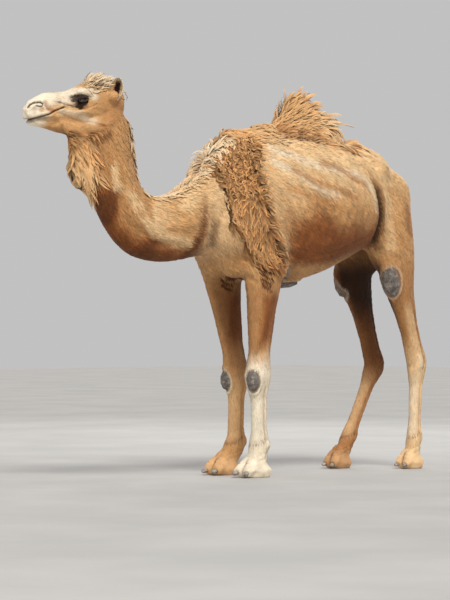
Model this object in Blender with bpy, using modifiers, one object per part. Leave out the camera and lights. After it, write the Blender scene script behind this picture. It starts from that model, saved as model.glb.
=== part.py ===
"""A dromedary camel at life size, standing, as a still model.

Metres, +Z up. The camel faces -Y, so its left side is +X. The body is shaped in the camel's own terms:
side (left of the middle), forward (ahead of the fore feet) and up (above the floor). Lofts through rings give
the trunk, neck, head, tail and legs, and swells give the muscles and bony points. They are fused into one
hide, which is then parted into named pieces by thin cuts of GAP.
"""

import math
from collections import namedtuple

import bmesh
import bpy
from mathutils import Matrix, Vector

# Driving sizes.
GAP = 0.0004
FLAT_ANGLE = 2
VOXEL = 0.009
HIDE_TRIANGLES = 3250
SIDES = {"left": 1, "right": -1}

# How far the head turns to the camel's right of straight ahead, and where its poll is.
HEAD_TURN = math.radians(14)
POLL = (-0.03, 0.87, 0.0)

# One section of a loft: its centre, half its width, and its half depths. High is the upper half of a section of
# the trunk, the nape side of the neck and the front of anything that hangs down.
Ring = namedtuple("Ring", "forward up wide high low side", defaults=(0.0,))
# An egg: its centre (side, forward, up), its half sizes in the same order, how many degrees its top leans back
# and how many it leans outward.
Swell = namedtuple("Swell", "centre size lean splay", defaults=(0.0, 0.0))
# The joints of a leg, each (side, forward, up), from the top down.
Leg = namedtuple("Leg", "root bend knee fetlock foot")
# A section of a leg: how far down it is from one joint to the next, and its half sizes.
Girth = namedtuple("Girth", "joint share fore_aft wide")

TRUNK = (
    Ring(-1.305, 1.450, 0.050, 0.070, 0.080),
    Ring(-1.270, 1.455, 0.115, 0.138, 0.140),
    Ring(-1.180, 1.490, 0.165, 0.203, 0.175),
    Ring(-1.050, 1.540, 0.200, 0.253, 0.200),
    Ring(-0.920, 1.550, 0.245, 0.320, 0.245),
    Ring(-0.750, 1.500, 0.298, 0.380, 0.290),
    Ring(-0.550, 1.480, 0.328, 0.405, 0.360),
    Ring(-0.350, 1.470, 0.318, 0.425, 0.395),
    Ring(-0.150, 1.450, 0.285, 0.445, 0.390),
    Ring(0.020, 1.430, 0.245, 0.450, 0.350),
    Ring(0.150, 1.420, 0.200, 0.400, 0.290),
    Ring(0.260, 1.400, 0.145, 0.300, 0.220),
    Ring(0.340, 1.390, 0.070, 0.180, 0.120),
)

NECK = (
    Ring(0.100, 1.500, 0.150, 0.320, 0.300),
    Ring(0.270, 1.470, 0.148, 0.190, 0.290),
    Ring(0.430, 1.390, 0.124, 0.175, 0.210),
    Ring(0.580, 1.350, 0.112, 0.180, 0.190, -0.002),
    Ring(0.720, 1.370, 0.105, 0.168, 0.188, -0.006),
    Ring(0.820, 1.440, 0.099, 0.163, 0.168, -0.012),
    Ring(0.880, 1.535, 0.094, 0.162, 0.155, -0.018),
    Ring(0.905, 1.655, 0.088, 0.157, 0.140, -0.023),
    Ring(0.910, 1.790, 0.083, 0.147, 0.128, -0.027),
    Ring(0.915, 1.900, 0.078, 0.125, 0.110, -0.030),
    Ring(0.925, 1.980, 0.062, 0.060, 0.070, -0.030),
)

# The head's rings are measured forward from the poll along the turned head, and up from the floor.
SKULL = (
    Ring(-0.040, 1.995, 0.045, 0.045, 0.070),
    Ring(0.030, 2.000, 0.076, 0.098, 0.120),
    Ring(0.100, 2.000, 0.085, 0.118, 0.130),
    Ring(0.170, 1.995, 0.086, 0.116, 0.125),
    Ring(0.230, 1.985, 0.075, 0.094, 0.105),
    Ring(0.290, 1.975, 0.061, 0.082, 0.085),
    Ring(0.350, 1.975, 0.053, 0.076, 0.070),
    Ring(0.410, 1.972, 0.051, 0.068, 0.062),
    Ring(0.460, 1.962, 0.054, 0.052, 0.056),
    Ring(0.498, 1.945, 0.047, 0.036, 0.042),
    Ring(0.518, 1.930, 0.028, 0.020, 0.024),
)

LOWER_JAW = (
    Ring(0.020, 1.900, 0.052, 0.040, 0.055),
    Ring(0.090, 1.880, 0.068, 0.060, 0.066),
    Ring(0.170, 1.875, 0.064, 0.060, 0.066),
    Ring(0.250, 1.875, 0.050, 0.050, 0.056),
    Ring(0.330, 1.875, 0.041, 0.040, 0.047),
    Ring(0.390, 1.880, 0.037, 0.025, 0.034),
    Ring(0.440, 1.880, 0.037, 0.016, 0.022),
    Ring(0.480, 1.882, 0.037, 0.014, 0.020),
    Ring(0.508, 1.884, 0.024, 0.008, 0.012),
)

THROAT_BEARD = (
    Ring(1.035, 1.850, 0.022, 0.200, 0.050, -0.050),
    Ring(1.050, 1.775, 0.042, 0.145, 0.070, -0.050),
    Ring(1.065, 1.690, 0.058, 0.125, 0.080, -0.050),
    Ring(1.075, 1.620, 0.056, 0.120, 0.080, -0.050),
    Ring(1.070, 1.560, 0.040, 0.080, 0.070, -0.047),
    Ring(1.060, 1.520, 0.016, 0.030, 0.040, -0.045),
)

TAIL = (
    Ring(-1.230, 1.600, 0.050, 0.040, 0.040),
    Ring(-1.300, 1.560, 0.040, 0.034, 0.034),
    Ring(-1.338, 1.470, 0.031, 0.027, 0.027),
    Ring(-1.345, 1.330, 0.026, 0.023, 0.023),
    Ring(-1.342, 1.200, 0.028, 0.024, 0.024),
    Ring(-1.340, 1.100, 0.040, 0.030, 0.030),
    Ring(-1.338, 1.010, 0.036, 0.028, 0.028),
    Ring(-1.336, 0.940, 0.014, 0.012, 0.012),
)

FORE_LEGS = {
    "left": Leg((0.175, 0.050, 1.320), (0.175, -0.020, 1.100), (0.140, -0.012, 0.550),
                (0.140, -0.020, 0.175), (0.140, 0.005, 0.050)),
    "right": Leg((-0.172, 0.040, 1.320), (-0.168, -0.030, 1.100), (-0.138, -0.112, 0.550),
                 (-0.140, -0.106, 0.175), (-0.145, -0.030, 0.050)),
}
HIND_LEGS = {
    "left": Leg((0.150, -1.060, 1.460), (0.190, -1.085, 1.090), (0.150, -1.285, 0.620),
                (0.150, -1.262, 0.175), (0.150, -1.245, 0.050)),
    "right": Leg((-0.150, -1.060, 1.460), (-0.185, -1.122, 1.090), (-0.150, -1.245, 0.600),
                 (-0.150, -1.020, 0.175), (-0.150, -0.950, 0.050)),
}

FORE_GIRTHS = (
    Girth(0, 0.00, 0.120, 0.070),
    Girth(0, 0.60, 0.130, 0.080),
    Girth(1, 0.00, 0.128, 0.080),
    Girth(1, 0.28, 0.100, 0.066),
    Girth(1, 0.55, 0.080, 0.058),
    Girth(1, 0.76, 0.070, 0.054),
    Girth(1, 0.90, 0.076, 0.066),
    Girth(2, 0.02, 0.077, 0.070),
    Girth(2, 0.18, 0.062, 0.056),
    Girth(2, 0.38, 0.050, 0.044),
    Girth(2, 0.75, 0.048, 0.044),
    Girth(3, 0.00, 0.062, 0.058),
    Girth(3, 0.50, 0.056, 0.056),
    Girth(4, 0.00, 0.058, 0.060),
)
HIND_GIRTHS = (
    Girth(0, 0.00, 0.160, 0.080),
    Girth(0, 0.50, 0.155, 0.086),
    Girth(0, 0.85, 0.130, 0.080),
    Girth(1, 0.08, 0.108, 0.070),
    Girth(1, 0.32, 0.080, 0.056),
    Girth(1, 0.60, 0.064, 0.048),
    Girth(1, 0.84, 0.066, 0.047),
    Girth(2, 0.00, 0.074, 0.052),
    Girth(2, 0.15, 0.060, 0.048),
    Girth(2, 0.35, 0.043, 0.038),
    Girth(2, 0.75, 0.040, 0.036),
    Girth(3, 0.00, 0.050, 0.047),
    Girth(3, 0.50, 0.046, 0.046),
    Girth(4, 0.00, 0.050, 0.050),
)
HIND_FOOT = 0.82

# Muscles and bony points found on both sides.
BODY_SWELLS = (
    Swell((0.165, 0.020, 1.550), (0.080, 0.135, 0.280), 18, -16),  # shoulder blade
    Swell((0.150, 0.130, 1.330), (0.085, 0.105, 0.150)),  # point of the shoulder
    Swell((0.190, -0.055, 1.250), (0.080, 0.140, 0.170), -15),  # triceps
    Swell((0.185, -0.130, 1.150), (0.040, 0.055, 0.075)),  # elbow
    Swell((0.085, 0.120, 1.190), (0.085, 0.090, 0.110)),  # breast
    Swell((0.185, -0.950, 1.725), (0.060, 0.075, 0.060)),  # point of the hip
    Swell((0.110, -1.100, 1.600), (0.100, 0.165, 0.138), 25),  # croup
    Swell((0.145, -1.050, 1.400), (0.095, 0.185, 0.280), 4),  # thigh
    Swell((0.100, -1.185, 1.360), (0.070, 0.100, 0.220), -6),  # back of the thigh
    Swell((0.190, -1.030, 1.110), (0.060, 0.070, 0.100), -12),  # stifle
)
MIDDLE_SWELLS = (
    Swell((0, -0.500, 1.850), (0.165, 0.330, 0.205)),  # foot of the hump
    Swell((0, -0.425, 1.955), (0.100, 0.190, 0.196), 10),  # top of the hump
    Swell((0, -0.280, 1.115), (0.120, 0.200, 0.055)),  # breastbone
    Swell((0, 0.000, 1.848), (0.085, 0.200, 0.072), 8),  # withers
    Swell((0, -0.200, 1.885), (0.080, 0.170, 0.092), 8),  # ridge before the hump
    Swell((0, -1.000, 1.820), (0.080, 0.220, 0.055), 14),  # loin
)
HEAD_SWELLS = (
    Swell((0.066, 0.215, 2.050), (0.030, 0.052, 0.024)),  # brow
    Swell((0.064, 0.190, 1.952), (0.026, 0.080, 0.022), -8),  # cheek bone
    Swell((0.050, 0.110, 1.880), (0.034, 0.085, 0.060)),  # cheek muscle
    Swell((0.032, 0.462, 1.965), (0.028, 0.036, 0.034)),  # side of the nose
    Swell((0.023, 0.490, 1.923), (0.026, 0.032, 0.026)),  # half of the split upper lip
    Swell((0.042, 0.400, 1.922), (0.018, 0.070, 0.020), 12),  # edge of the upper lip
)

EYE = Swell((0.069, 0.224, 2.004), (0.026, 0.026, 0.026))
EAR = Swell((0.096, 0.050, 2.056), (0.020, 0.031, 0.068), 20, 20)
EAR_CUP = Swell((0.112, 0.080, 2.072), (0.017, 0.031, 0.054), 20, 20)

# Calluses, measured from the middle of the knee or stifle joint, or on the body.
KNEE_PAD = Swell((0.020, 0.056, -0.022), (0.043, 0.033, 0.060))
STIFLE_PAD = Swell((0.024, 0.086, -0.006), (0.052, 0.052, 0.092), -14)
ELBOW_PAD = Swell((0.186, -0.178, 1.130), (0.024, 0.022, 0.046))
BREAST_PAD = Swell((0.0, -0.300, 1.074), (0.085, 0.140, 0.036))

# The toes' places beside and ahead of the foot's joint, and the half size of a nail.
TOE_APART = 0.040
TOE_REACH = 0.112
NAIL = (0.0170, 0.0230, 0.0135)

# How finely the inlays are made: the words their names start with, and segments round.
INLAY_SEGMENTS = {"eye": 12, "ear": 12, "callus": 10, "nail": 8}

# A thin cut: a plate through a line of points, swept by a vector.
Plate = namedtuple("Plate", "line sweep")
PLATES = (
    # head from neck, neck in two, neck from trunk
    Plate(((-0.25, 0.760, 2.010), (-0.25, 1.090, 1.795)), (0.45, 0, 0)),
    Plate(((-0.22, 0.700, 1.640), (-0.22, 1.120, 1.400)), (0.42, 0, 0)),
    Plate(((-0.32, 0.480, 1.780), (-0.32, 0.180, 1.040)), (0.64, 0, 0)),
    # beard from throat
    Plate(((-0.18, 1.300, 1.812), (-0.18, 1.060, 1.798), (-0.18, 1.025, 1.700),
           (-0.18, 1.030, 1.540), (-0.18, 1.120, 1.430)), (0.28, 0, 0)),
    # hump from back
    Plate(((-0.32, -0.090, 2.100), (-0.32, -0.175, 1.905), (-0.32, -0.480, 1.872),
           (-0.32, -0.780, 1.872), (-0.32, -0.980, 2.050)), (0.64, 0, 0)),
    # tail from rump, and its tuft from the tail
    Plate(((-0.110, -1.240, 1.720), (-0.110, -1.306, 1.590), (-0.110, -1.306, 0.850)), (0.22, 0, 0)),
    Plate(((-0.080, -1.410, 1.155), (-0.080, -1.290, 1.155)), (0.16, 0, 0)),
)
# The line of the mouth and the back edge of the jaw, in the head's own terms.
MOUTH = Plate(((-0.13, 0.600, 1.868), (-0.13, 0.508, 1.897), (-0.13, 0.452, 1.911), (-0.13, 0.409, 1.925),
               (-0.13, 0.318, 1.962), (-0.13, 0.190, 1.895), (-0.13, -0.010, 1.800)), (0.26, 0, 0))
# The tops of the legs are parted from the trunk by thin domes, open below.
FORE_DOME = Swell((0.175, -0.020, 1.040), (0.125, 0.190, 0.220))
HIND_DOME = Swell((0.187, -1.095, 1.160), (0.178, 0.232, 0.480))
# Heights of the cuts below the knee or hock, and above the foot.
FORE_CUTS = (0.465, 0.130)
HIND_CUTS = (0.540, 0.130)
THIGH_CUT = 1.000

# A point on or near each fused piece, by which it is named.
SEEDS = {
    "head": (-0.03, 1.05, 2.10),
    "lower_jaw": (-0.12, 1.24, 1.85),
    "neck_upper": (0.07, 0.90, 1.65),
    "neck_lower": (0.11, 0.58, 1.36),
    "throat_beard": (-0.05, 1.19, 1.66),
    "trunk": (0.33, -0.50, 1.48),
    "hump": (0.0, -0.42, 2.12),
    "tail": (0.0, -1.36, 1.35),
    "tail_tuft": (0.0, -1.36, 1.05),
}


# The slot of each piece whose name starts with the word, and each slot's colour and roughness.
SLOTS = {
    "eye": "eye_dark",
    "nail": "nail_horn",
    "callus": "callus_grey",
    "throat_beard": "hair_brown",
    "tail_tuft": "hair_brown",
    "hump": "hair_brown",
}
COLOURS = {
    "coat_tan": ((0.50, 0.27, 0.11), 0.85),
    "hair_brown": ((0.34, 0.18, 0.08), 0.90),
    "callus_grey": ((0.16, 0.14, 0.13), 0.75),
    "nail_horn": ((0.42, 0.35, 0.27), 0.45),
    "eye_dark": ((0.02, 0.012, 0.008), 0.08),
}


def at(side, forward, up):
    return Vector((side, -forward, up))


def between(a, b, share):
    return a + (b - a) * share


def curve_through(values, steps):
    """The values, with a smooth run of steps between each two, by the Catmull-Rom formula."""
    smooth = []
    for i in range(len(values) - 1):
        before, start = values[max(i - 1, 0)], values[i]
        end, after = values[i + 1], values[min(i + 2, len(values) - 1)]
        for step in range(steps):
            t = step / steps
            smooth.append(tuple(
                0.5 * (2 * b + (c - a) * t + (2 * a - 5 * b + 4 * c - d) * t ** 2 + (3 * b - a - 3 * c + d) * t ** 3)
                for a, b, c, d in zip(before, start, end, after)
            ))
    return smooth + [tuple(values[-1])]


def head_turn():
    return Matrix.Translation(at(*POLL)) @ Matrix.Rotation(-HEAD_TURN, 4, "Z")


def add_loft(mesh, rings, turn=Matrix.Identity(4), corners=24, steps=4):
    """Adds a closed tube through the rings, each square to the line through their centres."""
    rings = [Ring(*values) for values in curve_through(rings, steps)]
    centres = [at(ring.side, ring.forward, ring.up) for ring in rings]
    loops = []
    for i, ring in enumerate(rings):
        along = (centres[min(i + 1, len(rings) - 1)] - centres[max(i - 1, 0)]).normalized()
        across = Vector((1, 0, 0))
        across = (across - along * across.dot(along)).normalized()
        above = along.cross(across)
        loop = []
        for corner in range(corners):
            angle = 2 * math.pi * corner / corners
            depth = ring.high if math.sin(angle) > 0 else ring.low
            offset = across * ring.wide * math.cos(angle) + above * depth * math.sin(angle)
            loop.append(mesh.verts.new(turn @ (centres[i] + offset)))
        loops.append(loop)
    for one, two in zip(loops, loops[1:]):
        for corner in range(corners):
            after = (corner + 1) % corners
            mesh.faces.new((one[corner], one[after], two[after], two[corner]))
    mesh.faces.new(loops[0][::-1])
    mesh.faces.new(loops[-1])


def swell_matrix(swell, grow=0.0):
    """Places a unit ball as this egg, made larger by grow all round."""
    leaned = Matrix.Rotation(math.radians(-swell.lean), 4, "X") @ Matrix.Rotation(math.radians(swell.splay), 4, "Y")
    size = [half + grow for half in swell.size]
    return Matrix.Translation(at(*swell.centre)) @ leaned @ Matrix.Diagonal((*size, 1))


def on_side(swell, side):
    """The swell on the left or its mirror image on the right."""
    across, forward, up = swell.centre
    return swell._replace(centre=(side * across, forward, up), splay=side * swell.splay)


def add_swell(mesh, swell, turn=Matrix.Identity(4), segments=20, grow=0.0):
    placed = turn @ swell_matrix(swell, grow)
    bmesh.ops.create_uvsphere(mesh, u_segments=segments, v_segments=segments // 2, radius=1, matrix=placed)


def add_plate(mesh, plate, turn=Matrix.Identity(4)):
    """Adds a plate of thickness GAP, bent along its line and swept sideways."""
    sweep = at(*plate.sweep)
    points = [at(*point) for point in plate.line]
    rails = [[], [], [], []]
    for i, point in enumerate(points):
        along = (points[min(i + 1, len(points) - 1)] - points[max(i - 1, 0)]).normalized()
        offset = along.cross(sweep.normalized()) * GAP / 2
        for rail, corner in zip(rails, (point - offset, point + offset, point + offset + sweep, point - offset + sweep)):
            rail.append(mesh.verts.new(turn @ corner))
    for one, two in zip(rails, rails[1:] + rails[:1]):
        for i in range(len(points) - 1):
            mesh.faces.new((one[i], one[i + 1], two[i + 1], two[i]))
    mesh.faces.new([rail[0] for rail in rails])
    mesh.faces.new([rail[-1] for rail in rails][::-1])


def add_dome(mesh, swell):
    """Adds the upper half of an egg's shell, of thickness GAP, open below."""
    ball = bmesh.ops.create_uvsphere(mesh, u_segments=16, v_segments=8, radius=1, matrix=swell_matrix(swell))
    centre = swell_matrix(swell).translation
    bmesh.ops.delete(mesh, geom=[v for v in ball["verts"] if v.co.z < centre.z - 0.01], context="VERTS")
    bmesh.ops.solidify(mesh, geom=mesh.faces[:], thickness=GAP)


def leg_rings(leg, girths):
    rings = []
    for girth in girths:
        start = leg[girth.joint]
        end = leg[min(girth.joint + 1, len(leg) - 1)]
        side, forward, up = (between(a, b, girth.share) for a, b in zip(start, end))
        rings.append(Ring(forward, up, girth.wide, girth.fore_aft, girth.fore_aft, side))
    return rings


def add_foot(mesh, leg, size):
    """Adds a broad pad with two toes in front of it, parted by a cleft."""
    side, forward, _ = leg.foot
    add_swell(mesh, Swell((side, forward + 0.002, 0.030), (0.080 * size, 0.104 * size, 0.052)))
    for toe in SIDES.values():
        out = side + TOE_APART * size * toe
        reach = forward + TOE_REACH * size
        add_loft(mesh, (
            Ring(forward - 0.010, 0.110, 0.030, 0.040, 0.040, side + 0.016 * toe),
            Ring(between(forward, reach, 0.40), 0.072, 0.036 * size, 0.034, 0.040, between(side, out, 0.70)),
            Ring(between(forward, reach, 0.78), 0.038, 0.036 * size, 0.026, 0.034, out),
            Ring(reach, 0.022, 0.021 * size, 0.013, 0.022, out),
        ), corners=16)


def nail_of(leg, size, toe):
    """The nail of the left or right toe of a foot, just clear of the floor."""
    side, forward, _ = leg.foot
    half = tuple(value * size for value in NAIL)
    return Swell((side + TOE_APART * size * toe, forward + (TOE_REACH + 0.004) * size, 0.024), half, -14)


def new_object(name, mesh, collection):
    """An object from a bmesh, in the collection."""
    data = bpy.data.meshes.new(name)
    bmesh.ops.recalc_face_normals(mesh, faces=mesh.faces)
    mesh.to_mesh(data)
    mesh.free()
    made = bpy.data.objects.new(name, data)
    collection.objects.link(made)
    return made


def apply_modifiers(body):
    """Makes the object's modifiers part of its mesh."""
    bpy.context.view_layer.update()
    evaluated = body.evaluated_get(bpy.context.evaluated_depsgraph_get())
    data = bpy.data.meshes.new_from_object(evaluated)
    body.modifiers.clear()
    body.data = data


def subtract(body, cutter):
    """Cuts the cutter out of the body when its modifiers are applied."""
    cut = body.modifiers.new("less " + cutter.name, "BOOLEAN")
    cut.operation = "DIFFERENCE"
    cut.solver = "EXACT"
    cut.object = cutter
    cutter.hide_render = True
    cutter.display_type = "WIRE"


def weigh(body, name, weight_of):
    """A vertex group whose weight at each vertex is weight_of(forward, up)."""
    group = body.vertex_groups.new(name=name)
    for vertex in body.data.vertices:
        group.add([vertex.index], weight_of(-vertex.co.y, vertex.co.z), "REPLACE")
    return group.name


def ramp(value, low, high):
    return min(1.0, max(0.0, (value - low) / (high - low)))


def breadth(forward, up):
    """1 on the trunk and thighs, whose forms are broad, down to 0 on the head, lower legs and tail."""
    head = ramp(up, 1.76, 1.86) * ramp(forward, 0.5, 0.7)
    leg = ramp(-up, -1.16, -0.96)
    tail = ramp(-forward, 1.27, 1.32)
    return 1 - max(head, leg, tail)


def hide(collection):
    """The whole camel's outer form as one closed mesh, flat under its feet."""
    mesh = bmesh.new()
    add_loft(mesh, TRUNK)
    add_loft(mesh, NECK)
    add_loft(mesh, THROAT_BEARD, corners=16)
    add_loft(mesh, TAIL, corners=12)
    add_loft(mesh, SKULL, head_turn())
    add_loft(mesh, LOWER_JAW, head_turn())
    for leg in FORE_LEGS.values():
        add_loft(mesh, leg_rings(leg, FORE_GIRTHS), corners=20)
        add_foot(mesh, leg, 1.0)
    for leg in HIND_LEGS.values():
        add_loft(mesh, leg_rings(leg, HIND_GIRTHS), corners=20)
        add_foot(mesh, leg, HIND_FOOT)
    for swell in MIDDLE_SWELLS:
        add_swell(mesh, swell)
    for side in SIDES.values():
        for swell in BODY_SWELLS:
            add_swell(mesh, on_side(swell, side))
        for swell in HEAD_SWELLS:
            add_swell(mesh, on_side(swell, side), head_turn())
    body = new_object("hide", mesh, collection)

    fused = body.modifiers.new("fuse", "REMESH")
    fused.mode = "VOXEL"
    fused.voxel_size = VOXEL
    apply_modifiers(body)
    soft = body.modifiers.new("soften", "SMOOTH")
    soft.factor = 0.5
    soft.iterations = 4
    blend = body.modifiers.new("blend muscles", "SMOOTH")
    blend.factor = 0.5
    blend.iterations = 60
    blend.vertex_group = weigh(body, "broad", breadth)
    apply_modifiers(body)
    thin = body.modifiers.new("thin out", "DECIMATE")
    thin.ratio = HIDE_TRIANGLES / (2 * len(body.data.polygons))
    thin.use_collapse_triangulate = True
    apply_modifiers(body)
    flatten_soles(body)
    return body


def flatten_soles(body):
    """Cuts the feet off level at the floor."""
    mesh = bmesh.new()
    mesh.from_mesh(body.data)
    everything = mesh.verts[:] + mesh.edges[:] + mesh.faces[:]
    cut = bmesh.ops.bisect_plane(mesh, geom=everything, plane_co=(0, 0, 0), plane_no=(0, 0, -1), clear_outer=True)
    edges = [piece for piece in cut["geom_cut"] if isinstance(piece, bmesh.types.BMEdge)]
    bmesh.ops.holes_fill(mesh, edges=edges)
    mesh.to_mesh(body.data)
    mesh.free()


def inlays():
    """The pieces set into the hide, by name: the egg each is made from and the matrix that places it."""
    body = Matrix.Identity(4)
    pieces = {"callus_breast": (BREAST_PAD, body)}
    for name, side in SIDES.items():
        pieces["eye_" + name] = (on_side(EYE, side), head_turn())
        pieces["ear_" + name] = (on_side(EAR, side), head_turn())
        pieces["callus_elbow_" + name] = (on_side(ELBOW_PAD, side), body)
        pieces["callus_knee_" + name] = (pad_at(KNEE_PAD, FORE_LEGS[name].knee, side), body)
        pieces["callus_stifle_" + name] = (pad_at(STIFLE_PAD, HIND_LEGS[name].bend, side), body)
        for end, leg, size in (("fore", FORE_LEGS[name], 1.0), ("hind", HIND_LEGS[name], HIND_FOOT)):
            for toe in SIDES.values():
                which = "outer" if toe == side else "inner"
                pieces["nail_" + end + "_" + name + "_" + which] = (nail_of(leg, size, toe), body)
    return pieces


def pad_at(pad, joint, side):
    """A callus moved from the origin to a joint."""
    offset = (side * pad.centre[0], pad.centre[1], pad.centre[2])
    return pad._replace(centre=tuple(a + b for a, b in zip(joint, offset)))


def set_in(body, collection, cutters):
    """Makes each inlay and cuts a seat for it in the body, GAP wider all round."""
    for name, (swell, turn) in inlays().items():
        kind, *_, side = name.split("_")
        segments = INLAY_SEGMENTS[kind]
        mesh = bmesh.new()
        add_swell(mesh, swell, turn, segments)
        piece = new_object(name, mesh, collection)
        if kind == "ear":
            hollow = bmesh.new()
            add_swell(hollow, on_side(EAR_CUP, SIDES[side]), turn, segments)
            subtract(piece, new_object("hollow of " + name, hollow, cutters))
            apply_modifiers(piece)
        seat = bmesh.new()
        add_swell(seat, swell, turn, segments, grow=GAP)
        subtract(body, new_object("seat of " + name, seat, cutters))
    apply_modifiers(body)


def add_leg_plate(mesh, leg, joint, up, reach):
    """Adds a level plate across one leg."""
    side, forward, _ = leg[joint]
    half = 0.11
    add_plate(mesh, Plate(((side - half, forward - reach, up), (side - half, forward + reach, up)), (2 * half, 0, 0)))


def part(body, cutters):
    """Cuts the body through at each boundary."""
    for i, plate in enumerate(PLATES + (MOUTH,)):
        mesh = bmesh.new()
        add_plate(mesh, plate, head_turn() if plate is MOUTH else Matrix.Identity(4))
        subtract(body, new_object("plate " + str(i), mesh, cutters))
    for name, side in SIDES.items():
        for dome in (FORE_DOME, HIND_DOME):
            mesh = bmesh.new()
            add_dome(mesh, on_side(dome, side))
            subtract(body, new_object("dome", mesh, cutters))
        fore, hind = FORE_LEGS[name], HIND_LEGS[name]
        cuts = [(fore, 2, FORE_CUTS[0], 0.16), (fore, 3, FORE_CUTS[1], 0.20), (hind, 1, THIGH_CUT, 0.24)]
        cuts += [(hind, 2, HIND_CUTS[0], 0.20), (hind, 3, HIND_CUTS[1], 0.20)]
        for leg, joint, up, reach in cuts:
            mesh = bmesh.new()
            add_leg_plate(mesh, leg, joint, up, reach)
            subtract(body, new_object("leg plate", mesh, cutters))
    flat = body.modifiers.new("join flat faces", "DECIMATE")
    flat.decimate_type = "DISSOLVE"
    flat.angle_limit = math.radians(FLAT_ANGLE)
    body.modifiers.new("triangles", "TRIANGULATE")
    apply_modifiers(body)


def seeds():
    """A point near the middle of each fused piece's surface, by name."""
    found = dict(SEEDS)
    for name in SIDES:
        fore, hind = FORE_LEGS[name], HIND_LEGS[name]
        found["forearm_" + name] = tuple(between(a, b, 0.45) for a, b in zip(fore.bend, fore.knee))
        found["fore_shank_" + name] = tuple(between(a, b, 0.60) for a, b in zip(fore.knee, fore.fetlock))
        found["fore_foot_" + name] = fore.foot
        found["thigh_" + name] = tuple(between(a, b, 0.70) for a, b in zip(hind.root, hind.bend))
        found["gaskin_" + name] = tuple(between(a, b, 0.60) for a, b in zip(hind.bend, hind.knee))
        found["hind_shank_" + name] = tuple(between(a, b, 0.55) for a, b in zip(hind.knee, hind.fetlock))
        found["hind_foot_" + name] = hind.foot
    return found


def islands(data):
    """The vertices of each loose piece of a mesh."""
    mesh = bmesh.new()
    mesh.from_mesh(data)
    mesh.verts.ensure_lookup_table()
    left = set(range(len(mesh.verts)))
    found = []
    while left:
        island = set()
        front = [left.pop()]
        while front:
            index = front.pop()
            island.add(index)
            near = {edge.other_vert(mesh.verts[index]).index for edge in mesh.verts[index].link_edges}
            front += near & left
            left -= near
        found.append(island)
    mesh.free()
    return found


def split_and_name(body, collection):
    """Makes each loose piece of the body an object, named by the seed it lies nearest to."""
    pieces = islands(body.data)
    places = [vertex.co.copy() for vertex in body.data.vertices]
    free = dict(enumerate(pieces))
    for name, seed in seeds().items():
        point = at(*seed)
        near = {i: min((places[v] - point).length for v in island) for i, island in free.items()}
        chosen = free.pop(min(near, key=near.get))
        mesh = bmesh.new()
        mesh.from_mesh(body.data)
        bmesh.ops.delete(mesh, geom=[v for v in mesh.verts if v.index not in chosen], context="VERTS")
        new_object(name, mesh, collection)
    bpy.data.objects.remove(body)
    return len(free)


def paint(piece):
    """Gives a piece the material its name calls for, and smooth shading to the round ones."""
    slot = next((SLOTS[word] for word in SLOTS if piece.name.startswith(word)), "coat_tan")
    made = bpy.data.materials.get(slot) or bpy.data.materials.new(slot)
    made.use_nodes = True
    shader = made.node_tree.nodes["Principled BSDF"]
    shader.inputs["Base Color"].default_value = (*COLOURS[slot][0], 1)
    shader.inputs["Roughness"].default_value = COLOURS[slot][1]
    shader.inputs["Metallic"].default_value = 0.0
    piece.data.materials.clear()
    piece.data.materials.append(made)
    piece.data.shade_smooth()


def stand_on_origin(pieces):
    """Moves every piece together so that the origin is at the middle of the box's underside."""
    corners = [vertex.co for piece in pieces for vertex in piece.data.vertices]
    low = [min(corner[i] for corner in corners) for i in range(3)]
    high = [max(corner[i] for corner in corners) for i in range(3)]
    shift = Vector((-(low[0] + high[0]) / 2, -(low[1] + high[1]) / 2, -low[2]))
    for piece in pieces:
        piece.data.transform(Matrix.Translation(shift))


def main():
    for old in list(bpy.data.objects):
        bpy.data.objects.remove(old)
    camel = bpy.data.collections.new("camel")
    cutters = bpy.data.collections.new("cutters")
    bpy.context.scene.collection.children.link(camel)
    bpy.context.scene.collection.children.link(cutters)
    body = hide(camel)
    set_in(body, camel, cutters)
    part(body, cutters)
    unnamed = split_and_name(body, camel)
    assert not unnamed, f"{unnamed} pieces have no name"
    for cutter in list(cutters.objects):
        bpy.data.objects.remove(cutter)
    stand_on_origin(list(camel.objects))
    for piece in camel.objects:
        paint(piece)


main()
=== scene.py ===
"""Looks for the standing dromedary: one skin over the flesh, its coat in locks, its eyes, ears, nails and calluses.

The camel faces -Y and its left side is +X. Places on it are given in its own terms: side (left of the middle),
forward (ahead of the fore feet) and up (above the floor), or along the turned head from the poll.
"""

import math

import bmesh
import bpy
import numpy as np
from mathutils import Matrix, Vector
from mathutils.bvhtree import BVHTree


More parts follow.
